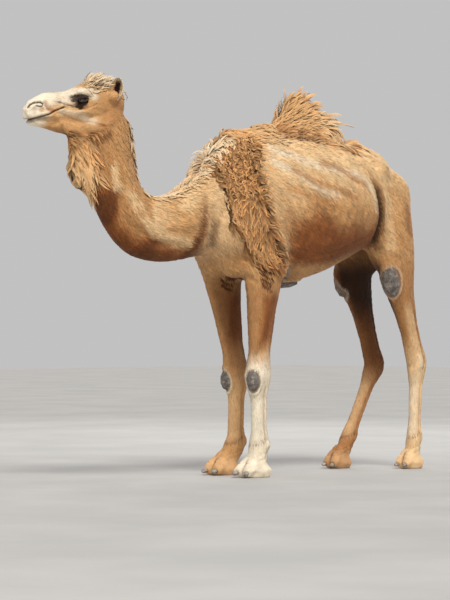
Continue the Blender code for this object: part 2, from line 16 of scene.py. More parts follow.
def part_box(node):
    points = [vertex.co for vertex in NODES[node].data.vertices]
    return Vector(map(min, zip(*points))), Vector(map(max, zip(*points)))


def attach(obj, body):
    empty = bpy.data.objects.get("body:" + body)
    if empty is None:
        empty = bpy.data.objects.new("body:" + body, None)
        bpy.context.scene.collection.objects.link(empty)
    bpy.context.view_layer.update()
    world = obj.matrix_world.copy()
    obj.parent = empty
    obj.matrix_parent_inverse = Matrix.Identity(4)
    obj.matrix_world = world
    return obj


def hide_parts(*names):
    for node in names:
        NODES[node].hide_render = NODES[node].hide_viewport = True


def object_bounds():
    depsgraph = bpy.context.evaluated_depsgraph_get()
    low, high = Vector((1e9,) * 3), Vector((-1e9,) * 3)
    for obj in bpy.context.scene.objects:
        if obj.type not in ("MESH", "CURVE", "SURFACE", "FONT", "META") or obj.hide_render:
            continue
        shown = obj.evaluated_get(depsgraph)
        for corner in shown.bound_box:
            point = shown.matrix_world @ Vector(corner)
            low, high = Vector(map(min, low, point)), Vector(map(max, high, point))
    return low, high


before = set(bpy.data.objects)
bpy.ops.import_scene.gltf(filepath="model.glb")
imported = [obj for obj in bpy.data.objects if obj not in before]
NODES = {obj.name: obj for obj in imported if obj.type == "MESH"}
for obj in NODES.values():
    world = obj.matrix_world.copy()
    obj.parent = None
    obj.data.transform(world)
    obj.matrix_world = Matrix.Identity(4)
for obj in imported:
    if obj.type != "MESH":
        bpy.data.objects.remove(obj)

CAD_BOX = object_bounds()
SIDES = {"left": 1, "right": -1}
CHANCE = np.random.default_rng(7)
TURN = 2 * math.pi
# Farther than anything on the camel is from anything else on it.
FAR = 9.0
# The skin: how far the flesh grows before it fuses, the size of its voxels, and its triangles in the end.
SEAM_OVERLAP = 0.0007
VOXEL = 0.0065
SKIN_TRIANGLES = 185000
# Locks: how deep they root, how thick they are for their width, how much they must stand to go straight, the
# brightest their colour may be, and the width and length of each one's patch of the layout.
ROOT_DEPTH = 0.0015
THICKNESS = 0.4
STRAIGHT_FROM = 0.25
BRIGHTEST = 0.92
PATCH = (0.0013, 0.003)
# Balls about the eye's middle: the eye itself, its lids and the roots of its lashes.
EYEBALL, LID, LASH_ROOT = 0.0258, 0.0275, 0.0278
# The ears: how far each is beside and along the head, and up.
EAR_ROOT = (0.079, 0.056, 2.016)

SKIN_NODES = [
    "head", "lower_jaw", "neck_upper", "neck_lower", "throat_beard", "trunk", "hump", "tail", "tail_tuft",
    *(f"{part}_{side}" for side in SIDES for part in (
        "forearm", "fore_shank", "fore_foot", "thigh", "gaskin", "hind_shank", "hind_foot")),
]
CALLUSES = [name for name in sorted(NODES) if name.startswith("callus")]
NAILS = [name for name in sorted(NODES) if name.startswith("nail")]


def middle(node):
    low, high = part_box(node)
    return (Vector(low) + Vector(high)) / 2


def half_size(node):
    low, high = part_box(node)
    return (Vector(high) - Vector(low)) / 2


PADS = [(np.array(middle(name)), np.array(half_size(name)) + 0.004) for name in CALLUSES]

# The line of the fore feet, from the knee callus that stands ahead of it.
FORE_LINE = middle("callus_knee_left").y + 0.044
HEAD_TURN = math.radians(14)
POLL = (-0.03, 0.87)


def at(side, forward, up):
    return Vector((side, FORE_LINE - forward, up))


def head_turn():
    return Matrix.Translation(at(*POLL, 0)) @ Matrix.Rotation(-HEAD_TURN, 4, "Z")


def on_head(side, along, up):
    return head_turn() @ Vector((side, -along, up))


def body_place(points):
    """The points' places in the camel's own terms."""
    return points[:, 0], FORE_LINE - points[:, 1], points[:, 2]


def head_place(points):
    """The points' places beside, along and above the turned head."""
    x = points[:, 0] - POLL[0]
    y = points[:, 1] - (FORE_LINE - POLL[1])
    sine, cosine = math.sin(HEAD_TURN), math.cos(HEAD_TURN)
    return x * cosine - y * sine, -x * sine - y * cosine, points[:, 2]


def rise(low, high, value):
    """0 at low up to 1 at high, or down if low is the greater, with soft ends."""
    share = np.clip((value - low) / (high - low), 0.0, 1.0)
    return share * share * (3 - 2 * share)


def from_line(first, second, line):
    """How far points given by two coordinates are from a bent line."""
    line = np.array(line, float)
    nearest = np.full(len(first), FAR)
    for start, end in zip(line, line[1:]):
        step = end - start
        share = ((first - start[0]) * step[0] + (second - start[1]) * step[1]) / (step @ step)
        share = np.clip(share, 0, 1)
        gap = np.hypot(first - start[0] - share * step[0], second - start[1] - share * step[1])
        nearest = np.minimum(nearest, gap)
    return nearest


# Lines drawn on the body's side, (forward, up), and on the head's, (along, up).
NAPE = ((0.83, 2.03), (0.78, 1.9), (0.765, 1.76), (0.735, 1.64), (0.7, 1.57), (0.653, 1.547),
        (0.546, 1.546), (0.4, 1.606), (0.29, 1.704), (0.239, 1.788), (0.18, 1.846))
THROAT = ((0.364, 1.195), (0.473, 1.172), (0.652, 1.152), (0.793, 1.186), (0.897, 1.253), (0.98, 1.356), (1.03, 1.5))
MOUTH = ((0.525, 1.888), (0.508, 1.894), (0.452, 1.911), (0.409, 1.923), (0.371, 1.944), (0.323, 1.964))
# Each leg's middle line, downwards: (side, forward, up) at its top, bend, knee or hock, fetlock and foot.
LEGS = {
    "fore_left": ((0.175, 0.05, 1.32), (0.175, -0.02, 1.1), (0.14, -0.012, 0.55), (0.14, -0.02, 0.175),
                  (0.14, 0.04, 0.03)),
    "fore_right": ((-0.172, 0.04, 1.32), (-0.168, -0.03, 1.1), (-0.138, -0.112, 0.55),
                   (-0.14, -0.106, 0.175), (-0.145, 0.005, 0.03)),
    "hind_left": ((0.15, -1.06, 1.46), (0.19, -1.085, 1.09), (0.15, -1.285, 0.62), (0.15, -1.262, 0.175),
                  (0.15, -1.21, 0.03)),
    "hind_right": ((-0.15, -1.06, 1.46), (-0.185, -1.122, 1.09), (-0.15, -1.245, 0.6),
                   (-0.15, -1.02, 0.175), (-0.15, -0.915, 0.03)),
}
NOSTRIL = ((0.515, 1.955), (0.508, 1.968), (0.49, 1.98), (0.458, 1.984), (0.446, 1.976))
NOSTRIL_FLOOR = ((0.482, 1.964), (0.462, 1.96), (0.447, 1.963), (0.443, 1.974))
NOSE_FOLD = ((0.432, 1.99), (0.425, 1.968), (0.415, 1.952), (0.39, 1.945))
JAW_LINE = ((0.4, 1.862), (0.3, 1.838), (0.2, 1.826), (0.12, 1.828))
UNDER_JAW = ((0.34, 1.815), (0.24, 1.798), (0.15, 1.806), (0.085, 1.842))
CHEEK_LIGHT = ((0.345, 1.942), (0.28, 1.935), (0.215, 1.915), (0.165, 1.895))
LIP_SHADE = ((0.5, 1.889), (0.455, 1.903), (0.415, 1.913))
BROW = ((0.31, 2.03), (0.262, 2.052), (0.205, 2.048), (0.165, 2.022))
CHEEK_FOLD = ((0.345, 1.925), (0.28, 1.905), (0.19, 1.885), (0.11, 1.872))
TEAR_LINE = ((0.375, 1.992), (0.33, 1.983), (0.275, 1.968))
# The middle of the left eye: beside, along and up. The dark round it, partly its dark lids and partly painted
# shadow: up, and half its length.
EYE = (0.069, 0.224, 2.004)
LID_UP = (1.948, 1.962, 1.985, 2.008, 2.026, 2.034)
LID_HALF = (0.002, 0.018, 0.036, 0.052, 0.05, 0.01)
HUMP_FOOT = ((-0.035, 1.907), (-0.249, 1.888), (-0.42, 1.87), (-0.586, 1.838), (-0.739, 1.86), (-0.85, 1.86))
NECK_FOLD = ((0.36, 1.66), (0.375, 1.56), (0.385, 1.44), (0.395, 1.33), (0.42, 1.23))
# The curly patch over the shoulder: up, middle (forward) and half width.
SHOULDER_UP = (1.16, 1.2, 1.29, 1.42, 1.56, 1.7, 1.8, 1.88)
SHOULDER_MIDDLE = (0.0, 0.012, 0.066, 0.124, 0.152, 0.16, 0.125, 0.075)
SHOULDER_HALF = (0.04, 0.07, 0.092, 0.098, 0.096, 0.104, 0.118, 0.095)
# Short hollows at the top of each fore leg, darkened with painted shade: ahead of its middle line, and up.
ARMPIT = (
    ((0.085, 1.16), (0.04, 1.13), (-0.01, 1.12)),
    ((0.075, 1.125), (0.035, 1.1), (0.0, 1.09)),
    ((0.07, 1.09), (0.035, 1.065), (0.005, 1.058)),
    ((0.06, 1.055), (0.03, 1.035), (0.005, 1.03)),
)
# Swells of muscle and bone that catch the light, and the hollows between them: (forward, up). The coat also has
# painted highlights along the swells and painted shade along the hollows.
FLANK_SWELLS = (((-0.05, 1.74), (-0.42, 1.575)), ((-0.085, 1.8), (-0.575, 1.684)),
                ((-0.62, 1.7), (-0.75, 1.6), (-0.78, 1.5)))
FLANK_HOLLOWS = (((-0.17, 1.69), (-0.575, 1.555)), ((-0.12, 1.6), (-0.42, 1.5)),
                 ((-0.42, 1.74), (-0.66, 1.64)))
NECK_SWELLS = (((0.8, 1.4), (0.7, 1.33), (0.58, 1.285), (0.46, 1.272)), ((0.95, 1.67), (0.92, 1.57)),
               ((0.5, 1.47), (0.43, 1.56)), ((0.86, 1.53), (0.83, 1.47)))
CHEST_HOLLOW = ((0.315, 1.45), (0.3, 1.3), (0.285, 1.2))
THIGH_FOLD = ((-0.8, 1.735), (-0.815, 1.704), (-0.84, 1.63), (-0.868, 1.516), (-0.885, 1.403), (-0.888, 1.3))


class Areas:
    """How much each point belongs to each area of the coat, 0 to 1."""

    def __init__(self, points):
        side, forward, up = body_place(points)
        beside, along, _ = head_place(points)
        self.side, self.forward, self.up = side, forward, up
        self.beside, self.along = beside, along
        wide = np.abs(side)
        self.head = rise(-0.012, 0.012, (up - 2.01) + (forward - 0.76) * 0.65)
        self.muzzle = self.head * rise(0.36, 0.47, along)
        by_ear = np.hypot(np.abs(beside) - EAR_ROOT[0], along - EAR_ROOT[1])
        self.crown = self.head * rise(2.045, 2.085, up) * rise(0.225, 0.18, along) * rise(0.036, 0.058, by_ear)
        nape = from_line(forward, up, NAPE)
        self.mane = rise(0.085, 0.035, np.hypot(nape, side * 1.1 + 0.03 * rise(0.4, 0.9, forward))) * (1 - self.head)
        self.beard = rise(1.035, 1.075, forward) * rise(1.84, 1.8, up) * rise(1.45, 1.53, up)
        base = np.interp(-forward, (0.1, 0.25, 0.42, 0.6, 0.8, 0.92), (1.9, 1.875, 1.86, 1.845, 1.85, 1.9))
        self.hump = rise(base - 0.025, base + 0.025, up) * rise(-0.87, -0.82, forward) * rise(-0.16, -0.24, forward)
        self.ridge = rise(1.88, 1.93, up) * rise(-0.02, -0.1, forward) * (1 - self.hump) * (forward > -0.4)
        self.withers = rise(1.83, 1.88, up) * rise(-0.3, -0.16, forward) * rise(0.3, 0.2, forward)
        self.withers = self.withers * (1 - self.hump)
        self.past_shoulder = forward - np.interp(up, SHOULDER_UP, SHOULDER_MIDDLE)
        self.shoulder_half = np.interp(up, SHOULDER_UP, SHOULDER_HALF)
        reach = np.abs(self.past_shoulder) - self.shoulder_half
        self.shoulder = rise(0.012, -0.022, reach) * rise(1.185, 1.21, up) * rise(1.9, 1.86, up)
        self.shoulder = self.shoulder * rise(0.035, 0.07, wide) * rise(0.8, 0.7, forward)
        self.tail = rise(-1.285, -1.315, forward) * rise(0.085, 0.06, wide) * rise(1.62, 1.56, up)
        self.tuft = self.tail * rise(1.2, 1.14, up)
        fore_leg = rise(1.16, 1.02, up) * rise(-0.32, -0.24, forward) * rise(0.3, 0.25, forward)
        hind_leg = rise(1.3, 1.12, up) * rise(-0.8, -0.88, forward) * (1 - self.tail)
        self.fore_leg, self.hind_leg = fore_leg, hind_leg
        self.leg = np.maximum(fore_leg, hind_leg)
        self.foot = rise(0.13, 0.06, up)
        self.thigh = rise(-0.84, -0.9, forward) * rise(1.02, 1.12, up) * rise(0.03, 0.1, wide)
        self.trunk = 1 - np.clip(self.leg + self.head + self.tail + rise(0.28, 0.4, forward), 0, 1)
        # how far ahead of its leg's middle line, and outward of it, each point lies
        self.ahead, self.outward = np.zeros(len(side)), np.zeros(len(side))
        for name, line in LEGS.items():
            here = (side > 0) == name.endswith("left")
            here &= (forward > -0.5) == name.startswith("fore")
            sides, forwards, ups = np.array(line[::-1]).T
            self.ahead[here] = (forward - np.interp(up, ups, forwards))[here]
            self.outward[here] = (wide - np.abs(np.interp(up, ups, sides)))[here]
        self.callus = np.full(len(side), FAR)
        for centre, size in PADS:
            self.callus = np.minimum(self.callus, np.linalg.norm((points - centre) / size, axis=1))
        self.neck = rise(0.28, 0.4, forward) * (1 - self.head) * (1 - self.beard)

    def near(self, line, far, close, shift=0.0):
        """0 at far and 1 at close of a line on the body, whose places are (forward, up)."""
        return rise(far, close, from_line(self.forward + shift, self.up, line))

    def near_on_head(self, line, far, close, shift=0.0):
        """The same for a line on the head: (along, up)."""
        return rise(far, close, from_line(self.along, self.up + shift, line))

    def near_on_leg(self, line, far, close):
        """The same for a line on each leg: (ahead of its middle line, up)."""
        return rise(far, close, from_line(self.ahead, self.up, line))


def coat_depth(points):
    """How far the coat's tips stand over the skin."""
    area = Areas(points)
    depth = 0.006 + 0.05 * area.hump + 0.016 * area.shoulder + 0.014 * area.mane + 0.014 * area.withers
    depth += 0.014 * area.ridge
    depth += 0.03 * area.crown + 0.02 * area.beard + 0.01 * area.tuft
    bare = np.maximum(area.muzzle, area.foot)
    depth = depth * (1 - 0.5 * area.head * (1 - area.crown)) * (1 - 0.4 * area.leg) * (1 - 0.8 * bare)
    return np.where(area.up < 0.012, 0.0, depth)


def tone(red, green, blue):
    """A colour from its screen values, 0 to 255, as the linear values that materials use."""
    shares = np.array((red, green, blue)) / 255
    return np.where(shares > 0.04045, ((shares + 0.055) / 1.055) ** 2.4, shares / 12.92)


TAN = tone(186, 133, 82)
GOLD = tone(220, 170, 114)
STRAW = tone(246, 207, 156)
CREAM = tone(250, 236, 210)
RUST = tone(150, 86, 38)
UMBER = tone(98, 54, 22)
BLACK_BROWN = tone(44, 25, 14)
GREY_LIP = tone(168, 146, 120)


def streaks(first, second, width, length):
    """Soft streaks, -1 to 1, that run along the first measure and differ along the second."""
    bend = 0.35 * np.sin(first / length * 5.1) + 0.25 * np.sin(first / length * 11.3 + second / width)
    fine = np.sin(second / width * TURN + bend * 5) * 0.5 + np.sin(second / width * 14.7 + bend * 9 + 2) * 0.3
    return fine + 0.4 * np.sin(first / length * 3.3 + second / width * 2.1 + 1)


def coat_colour_and_painted_light(points):
    """The coat's colour and its painted highlights and shade at each point, the same for the skin and what grows
    there.
    """
    area = Areas(points)
    side, forward, up = area.side, area.forward, area.up
    colour = np.tile(TAN, (len(points), 1))

    def lay(shade, share):
        nonlocal colour
        share = np.clip(share, 0, 1)[:, None]
        colour = colour * (1 - share) + shade * share

    # back and flanks, pale above, with a rusty belly that has a paler edge: partly the coat's own colours, partly
    # painted highlight above and painted shade below
    wander = 0.03 * np.sin(forward * 9.0 + 1.0) + 0.02 * np.sin(forward * 23.0)
    low = up + wander
    lay(GOLD, 0.8 * area.trunk * rise(1.36, 1.56, low))
    pale_from = 1.5 - 0.2 * rise(-0.4, -0.1, forward)
    lay(STRAW, 0.85 * area.trunk * rise(pale_from, 1.7, low) * rise(0.02, -0.1, forward))
    band = area.past_shoulder + area.shoulder_half + 0.055
    lay(STRAW, 0.5 * area.trunk * rise(0.1, 0.01, np.abs(band)) * rise(1.1, 1.25, up) * rise(1.85, 1.7, up))
    lay(RUST, 0.95 * area.trunk * rise(1.47, 1.34, low) * rise(-0.1, -0.22, forward))
    lay(UMBER, 0.5 * area.trunk * rise(1.36, 1.26, low) * rise(-0.36, -0.62, forward))
    lay(GOLD, 0.8 * area.trunk * rise(1.205 + 0.12 * rise(-0.4, -0.8, forward), 1.15, up))
    # painted highlights along the flank's swells and painted shade along its hollows
    for line in FLANK_SWELLS:
        lay(CREAM, 0.5 * area.trunk * area.near(line, 0.04, 0.006, wander))
    for line in FLANK_HOLLOWS:
        lay(TAN, 0.7 * area.trunk * area.near(line, 0.034, 0.006, wander))
    # neck: pale nape and side, dark throat; partly the coat's own colours, partly painted highlight and shade
    sway = 0.035 * np.sin(forward * 17.0 + up * 9.0) + 0.02 * np.sin(forward * 41.0 + up * 13.0 + 2)
    lay(GOLD, 0.55 * area.neck * area.near(NAPE, 0.3, 0.12))
    lay(STRAW, 0.8 * area.neck * rise(0.13, 0.05, np.hypot(forward - 0.66, (up - 1.43) * 1.3) + sway))
    lay(GOLD, 0.7 * area.neck * rise(0.75, 0.55, forward) * rise(0.3, 0.1, np.abs(up - 1.42) + sway))
    lay(STRAW, 0.85 * area.mane)
    lay(CREAM, 0.35 * area.mane)
    throat = (from_line(forward, up, THROAT) + sway) / np.interp(up, (1.25, 1.42), (1.0, 0.62))
    lay(RUST, 0.92 * area.neck * rise(0.18, 0.07, throat))
    lay(UMBER, 0.8 * area.neck * rise(0.1, 0.02, throat))
    # painted highlights along the neck's swells
    for line in NECK_SWELLS:
        lay(STRAW, 0.8 * area.neck * area.near(line, 0.045, 0.012, sway * 0.5))
    # a painted highlight on the front of the breast
    breast = rise(0.46, 0.3, forward) * rise(0.12, 0.26, forward)
    lay(STRAW, 0.85 * breast * rise(1.12, 1.3, up) * rise(1.72, 1.55, up))
    # legs: rusty forearms, shins cream on the left and tan on the right, partly painted light on the lit left side,
    # and painted shade on the insides and in the hollows
    lay(GOLD, 0.45 * area.fore_leg)
    forearm = area.fore_leg * rise(0.64, 0.8, up + sway) * rise(1.06, 0.96, up)
    lay(RUST, 0.9 * forearm)
    # a painted highlight down the forearm's front edge
    lay(GOLD, 0.5 * forearm * rise(0.02, 0.065, area.ahead))
    lay(UMBER, 0.45 * forearm * rise(0.05, 0.012, np.abs(area.ahead - 0.005 + 0.15 * (up - 0.9) + 0.5 * sway)))
    # a painted highlight above the knee
    above_knee = rise(0.62, 0.66, up) * rise(0.76, 0.7, up)
    lay(STRAW, 0.4 * area.fore_leg * rise(0.02, 0.004, np.abs(area.ahead + 0.015)) * above_knee)
    lay(TAN, 0.7 * area.hind_leg)
    lay(GOLD, 0.75 * area.thigh * rise(1.1, 1.3, up))
    # painted shade on the thigh's muscle and a painted highlight ahead of its fold; the top of the rump paler
    lay(RUST, 0.55 * area.thigh * rise(0.06, 0.02, np.hypot(forward + 1.13, (up - 1.46) * 0.4)))
    lay(STRAW, 0.6 * area.thigh * area.near(THIGH_FOLD, 0.05, 0.012, 0.085) * rise(1.12, 1.24, up))
    lay(STRAW, 0.65 * rise(-0.86, -0.96, forward) * rise(1.58, 1.74, up))
    # the left legs' lower parts paler than the right's, partly painted light; a painted highlight down the near hind
    # leg's front, and painted shade on the far hind leg
    shin, left = rise(0.72, 0.57, up), rise(-0.02, 0.02, side)
    lay(CREAM, 0.92 * area.fore_leg * shin * left)
    lay(GOLD, 0.3 * area.fore_leg * shin * (1 - left))
    lay(STRAW, 0.85 * area.hind_leg * rise(0.8, 0.6, up) * left)
    lay(STRAW, 0.6 * area.hind_leg * left * rise(0.05, 0.02, np.abs(area.ahead - 0.01)) * rise(1.0, 0.9, up))
    lay(RUST, 0.25 * area.hind_leg * (1 - left))
    lay(UMBER, 0.55 * area.hind_leg * (1 - left) * rise(0.3, 0.7, up))
    # painted highlights down the front of the cannon bones
    bone = rise(-0.02, 0.04, area.ahead) * rise(0.14, 0.24, up) * rise(0.62, 0.45, up)
    lay(CREAM, 0.5 * area.leg * bone * left)
    lay(STRAW, 0.5 * area.leg * bone * (1 - left))
    lay(STRAW, 0.3 * area.foot * area.leg * (1 - left))
    # painted shade in the grooves down the cannons and the gaskins
    cannon = rise(0.54, 0.46, up) * rise(0.15, 0.22, up)
    lay(RUST, 0.28 * area.leg * rise(0.012, 0.002, np.abs(area.ahead + 0.006)) * cannon)
    gaskin = area.hind_leg * rise(0.62, 0.7, up) * rise(1.02, 0.88, up)
    lay(RUST, 0.55 * gaskin * rise(0.016, 0.003, np.abs(area.ahead + 0.03)))
    # a painted highlight and lines of painted shade on the hocks
    joint = area.leg * rise(0.055, 0.03, np.abs(up - 0.62)) * (forward < -0.5)
    lay(CREAM, 0.55 * joint * left * rise(0.02, 0.006, np.abs(area.ahead - 0.01)))
    lay(RUST, 0.6 * joint * rise(0.014, 0.004, np.abs(area.ahead + 0.022 + 0.4 * (up - 0.62))))
    # painted shade in the fetlock creases and between the toes
    crease = rise(0.012, 0.003, np.abs(up - 0.205 + 0.5 * area.ahead)) * rise(-0.03, 0.0, area.ahead)
    lay(UMBER, 0.45 * area.leg * crease)
    cleft = rise(0.01, 0.003, np.abs(area.outward)) * rise(0.025, 0.045, area.ahead) * rise(0.11, 0.085, up)
    lay(UMBER, 0.6 * area.leg * cleft)
    # painted shade on the legs' insides and between the hind legs
    lay(UMBER, 0.55 * area.leg * rise(0.0, -0.035, area.outward) * rise(0.4, 0.7, up))
    lay(BLACK_BROWN, 0.88 * area.hind_leg * rise(0.03, -0.03, area.outward) * rise(0.75, 1.0, up))
    # painted shade in the hollows at the top of the fore legs
    for line in ARMPIT:
        hollow = area.near_on_leg(line, 0.015, 0.004)
        lay(UMBER, 0.95 * hollow * rise(1.22, 1.14, up) * rise(0.98, 1.02, up) * (forward > -0.3) * (forward < 0.3))
    # bald pads of the calluses and their pale rims
    lay(CREAM, (0.3 + 0.4 * rise(0.75, 0.65, up)) * rise(1.32, 1.2, area.callus) * rise(0.6, 0.9, area.callus))
    lay(UMBER, 0.7 * rise(1.12, 1.04, area.callus))
    # head: golden cheek, pale bridge, cream muzzle, dark lids; painted highlights on the brow and cheek, and painted
    # shade in the folds, under the jaw, round the eye, in the nostrils and at the lips
    along, face = area.along, area.head * rise(0.01, 0.02, np.abs(area.beside))
    lay(GOLD, 0.75 * area.head)
    lay(RUST, 0.4 * area.head * rise(0.16, 0.06, along) * rise(2.04, 1.98, up))
    lay(STRAW, 0.85 * area.crown)
    lay(CREAM, 0.4 * area.crown)
    lay(CREAM, 0.8 * area.head * rise(0.2, 0.3, along) * rise(1.955, 2.0, up + 0.05 * (along - 0.3)))
    # a painted highlight on the brow ridge
    lay(CREAM, 0.7 * area.head * area.near_on_head(BROW, 0.028, 0.012))
    # painted shade along the bottom of the jaw
    lay(RUST, 0.35 * area.head * rise(1.865, 1.83, up) * rise(0.46, 0.38, along))
    lay(CREAM, 0.95 * area.muzzle * rise(0.36, 0.42, along + 0.6 * (up - 1.93)))
    lay(GREY_LIP, 0.6 * area.muzzle * rise(1.912, 1.898, up) * rise(1.872, 1.882, up))
    # a grey patch of painted shade under the nostril
    lay(GREY_LIP, 0.45 * face * rise(0.022, 0.008, np.hypot(along - 0.492, (up - 1.937) * 0.8)))
    # painted shade in the folds by the nose, cheek and jaw, and a painted highlight on the cheek
    for shade, share, line, far, close in (
        (RUST, 0.55, CHEEK_FOLD, 0.016, 0.004), (RUST, 0.6, NOSE_FOLD, 0.014, 0.003),
        (UMBER, 0.2, JAW_LINE, 0.013, 0.004), (STRAW, 0.55, CHEEK_LIGHT, 0.042, 0.016),
        (CREAM, 0.55, CHEEK_LIGHT, 0.02, 0.006),
    ):
        lay(shade, share * face * area.near_on_head(line, far, close))
    # painted shade under the jaw
    lay(UMBER, 0.75 * area.near_on_head(UNDER_JAW, 0.024, 0.008) * rise(0.015, 0.03, np.abs(area.beside)))
    lay(TAN, 0.65 * face * rise(0.022, 0.01, np.hypot(along - 0.45, (up - 1.946) * 1.2)))
    # painted shade in the mouth's slit, under the upper lip, in the nostrils and in the crease under the eye
    for share, line, far, close, where in (
        (0.9, MOUTH, 0.005, 0.0015, area.head), (0.4, LIP_SHADE, 0.012, 0.003, area.head),
        (0.95, NOSTRIL, 0.0065, 0.0025, face), (0.8, NOSTRIL_FLOOR, 0.0045, 0.0015, face),
        (0.7, TEAR_LINE, 0.007, 0.002, face),
    ):
        lay(BLACK_BROWN, share * where * area.near_on_head(line, far, close))
    # the dark round the eye: partly its dark lids, partly painted shadow
    lid = rise(1.15, 0.85, np.abs(along - EYE[1] - 0.019) / np.interp(up, LID_UP, LID_HALF))
    lay(BLACK_BROWN, 0.94 * face * lid * rise(1.946, 1.954, up) * rise(2.038, 2.03, up))
    # long hair
    lay(GOLD, 0.9 * area.hump)
    lay(STRAW, 0.85 * area.hump * rise(-0.42, -0.56, forward) * rise(1.88, 1.96, up))
    foot_of_hump = area.hump * area.near(HUMP_FOOT, 0.055, 0.015) * rise(-0.8, -0.7, forward)
    lay(RUST, 0.4 * foot_of_hump)
    lay(UMBER, 0.4 * foot_of_hump)
    lay(TAN, 0.9 * area.shoulder)
    lay(GOLD, 0.35 * area.shoulder)
    lay(UMBER, 0.12 * area.shoulder)
    lay(RUST, 0.7 * area.shoulder * rise(1.26, 1.2, up))
    lay(GOLD, 0.7 * area.withers)
    lay(GOLD, 0.85 * area.beard)
    lay(STRAW, 0.45 * area.beard * rise(1.78, 1.68, up))
    lay(UMBER, 0.7 * area.tuft)
    # painted shade in the fold ahead of the thigh, the hollow of the chest and the folds between neck and shoulder
    outer = rise(0.12, 0.18, np.abs(side))
    beside = rise(0.05, 0.09, np.abs(side))
    lay(UMBER, 0.6 * area.near(THIGH_FOLD, 0.05, 0.01) * outer * rise(1.74, 1.62, up))
    lay(BLACK_BROWN, 0.8 * area.near(THIGH_FOLD, 0.026, 0.006) * outer * rise(1.72, 1.56, up))
    lay(UMBER, 0.65 * area.near(CHEST_HOLLOW, 0.042, 0.012) * beside * rise(1.48, 1.36, up))
    lay(RUST, 0.65 * area.near(NECK_FOLD, 0.055, 0.012) * beside * rise(1.5, 1.34, up))
    lay(UMBER, 0.75 * area.near(NECK_FOLD, 0.024, 0.006) * beside * rise(1.6, 1.4, up))
    # painted sheen: light and dark streaks along the lie of the coat
    slant = streaks(0.8 * forward + 0.6 * up, 0.6 * forward - 0.8 * up, 0.085, 0.3)
    upright = streaks(up, forward + 0.3 * side, 0.06, 0.25)
    shift = 0.15 * slant * area.trunk + 0.09 * upright * (1 - area.trunk) * (1 - area.head)
    return (colour * (1 + shift[:, None])).clip(0, 1)


def numbers(mesh):
    """A mesh's vertex places, edges and vertex normals as arrays."""
    places = np.empty(len(mesh.vertices) * 3, np.float32)
    mesh.vertices.foreach_get("co", places)
    edges = np.empty(len(mesh.edges) * 2, np.int32)
    mesh.edges.foreach_get("vertices", edges)
    normals = np.empty(len(mesh.vertices) * 3, np.float32)
    mesh.vertices.foreach_get("normal", normals)
    return places.reshape(-1, 3).astype(float), edges.reshape(-1, 2), normals.reshape(-1, 3).astype(float)


def relax(places, edges, weight, rounds):
    """Moves each point towards the middle of its neighbours, by its weight, so many rounds."""
    count = np.bincount(edges.ravel(), minlength=len(places))[:, None]
    weight = weight[:, None] * 0.5
    for _ in range(rounds):
        middle_of = np.empty_like(places)
        for axis in range(3):
            total = np.bincount(edges[:, 0], places[edges[:, 1], axis], len(places))
            total += np.bincount(edges[:, 1], places[edges[:, 0], axis], len(places))
            middle_of[:, axis] = total
        places = places + (middle_of / np.maximum(count, 1) - places) * weight
    return places


def put(mesh, places):
    mesh.vertices.foreach_set("co", places.astype(np.float32).ravel())
    mesh.update()


def new_piece(name, mesh):
    """An object from a bmesh, which it frees."""
    data = bpy.data.meshes.new(name)
    mesh.to_mesh(data)
    mesh.free()
    made = bpy.data.objects.new(name, data)
    bpy.context.scene.collection.objects.link(made)
    return made


def apply_modifiers(piece):
    bpy.context.view_layer.update()
    data = bpy.data.meshes.new_from_object(piece.evaluated_get(bpy.context.evaluated_depsgraph_get()))
    piece.modifiers.clear()
    piece.data = data


def paint_points(mesh, name, colours):
    """Stores a colour at each vertex."""
    layer = mesh.color_attributes.new(name, "FLOAT_COLOR", "POINT")
    layer.data.foreach_set("color", np.column_stack((colours, np.ones(len(colours)))).astype(np.float32).ravel())


def fused_flesh():
    """The flesh nodes grown by a hair and fused into one closed skin."""
    mesh = bmesh.new()
    for name in SKIN_NODES + CALLUSES:
        mesh.from_mesh(NODES[name].data)
    bmesh.ops.remove_doubles(mesh, verts=mesh.verts, dist=0.00005)
    mesh.normal_update()
    for vertex in mesh.verts:
        vertex.co += vertex.normal * SEAM_OVERLAP
    for side in SIDES.values():
        ear_root = Matrix.Translation(on_head(0.078 * side, 0.05, 2.03))
        bmesh.ops.create_uvsphere(mesh, u_segments=16, v_segments=8, radius=0.034, matrix=ear_root)
    skin = new_piece("skin", mesh)
    fuse = skin.modifiers.new("fuse", "REMESH")
    fuse.mode = "VOXEL"
    fuse.voxel_size = VOXEL
    apply_modifiers(skin)
    return skin


def finer_head(skin):
    """Splits the faces of the head once more, for its small forms."""
    mesh = bmesh.new()
    mesh.from_mesh(skin.data)
    edges = [edge for edge in mesh.edges if all(is_face(vertex.co) for vertex in edge.verts)]
    bmesh.ops.subdivide_edges(mesh, edges=edges, cuts=1, use_grid_fill=True)
    mesh.to_mesh(skin.data)
    mesh.free()


def is_face(place):
    along = -(place.x - POLL[0]) * math.sin(HEAD_TURN) - (place.y - FORE_LINE + POLL[1]) * math.cos(HEAD_TURN)
    return along > 0.1 and place.z > 1.8


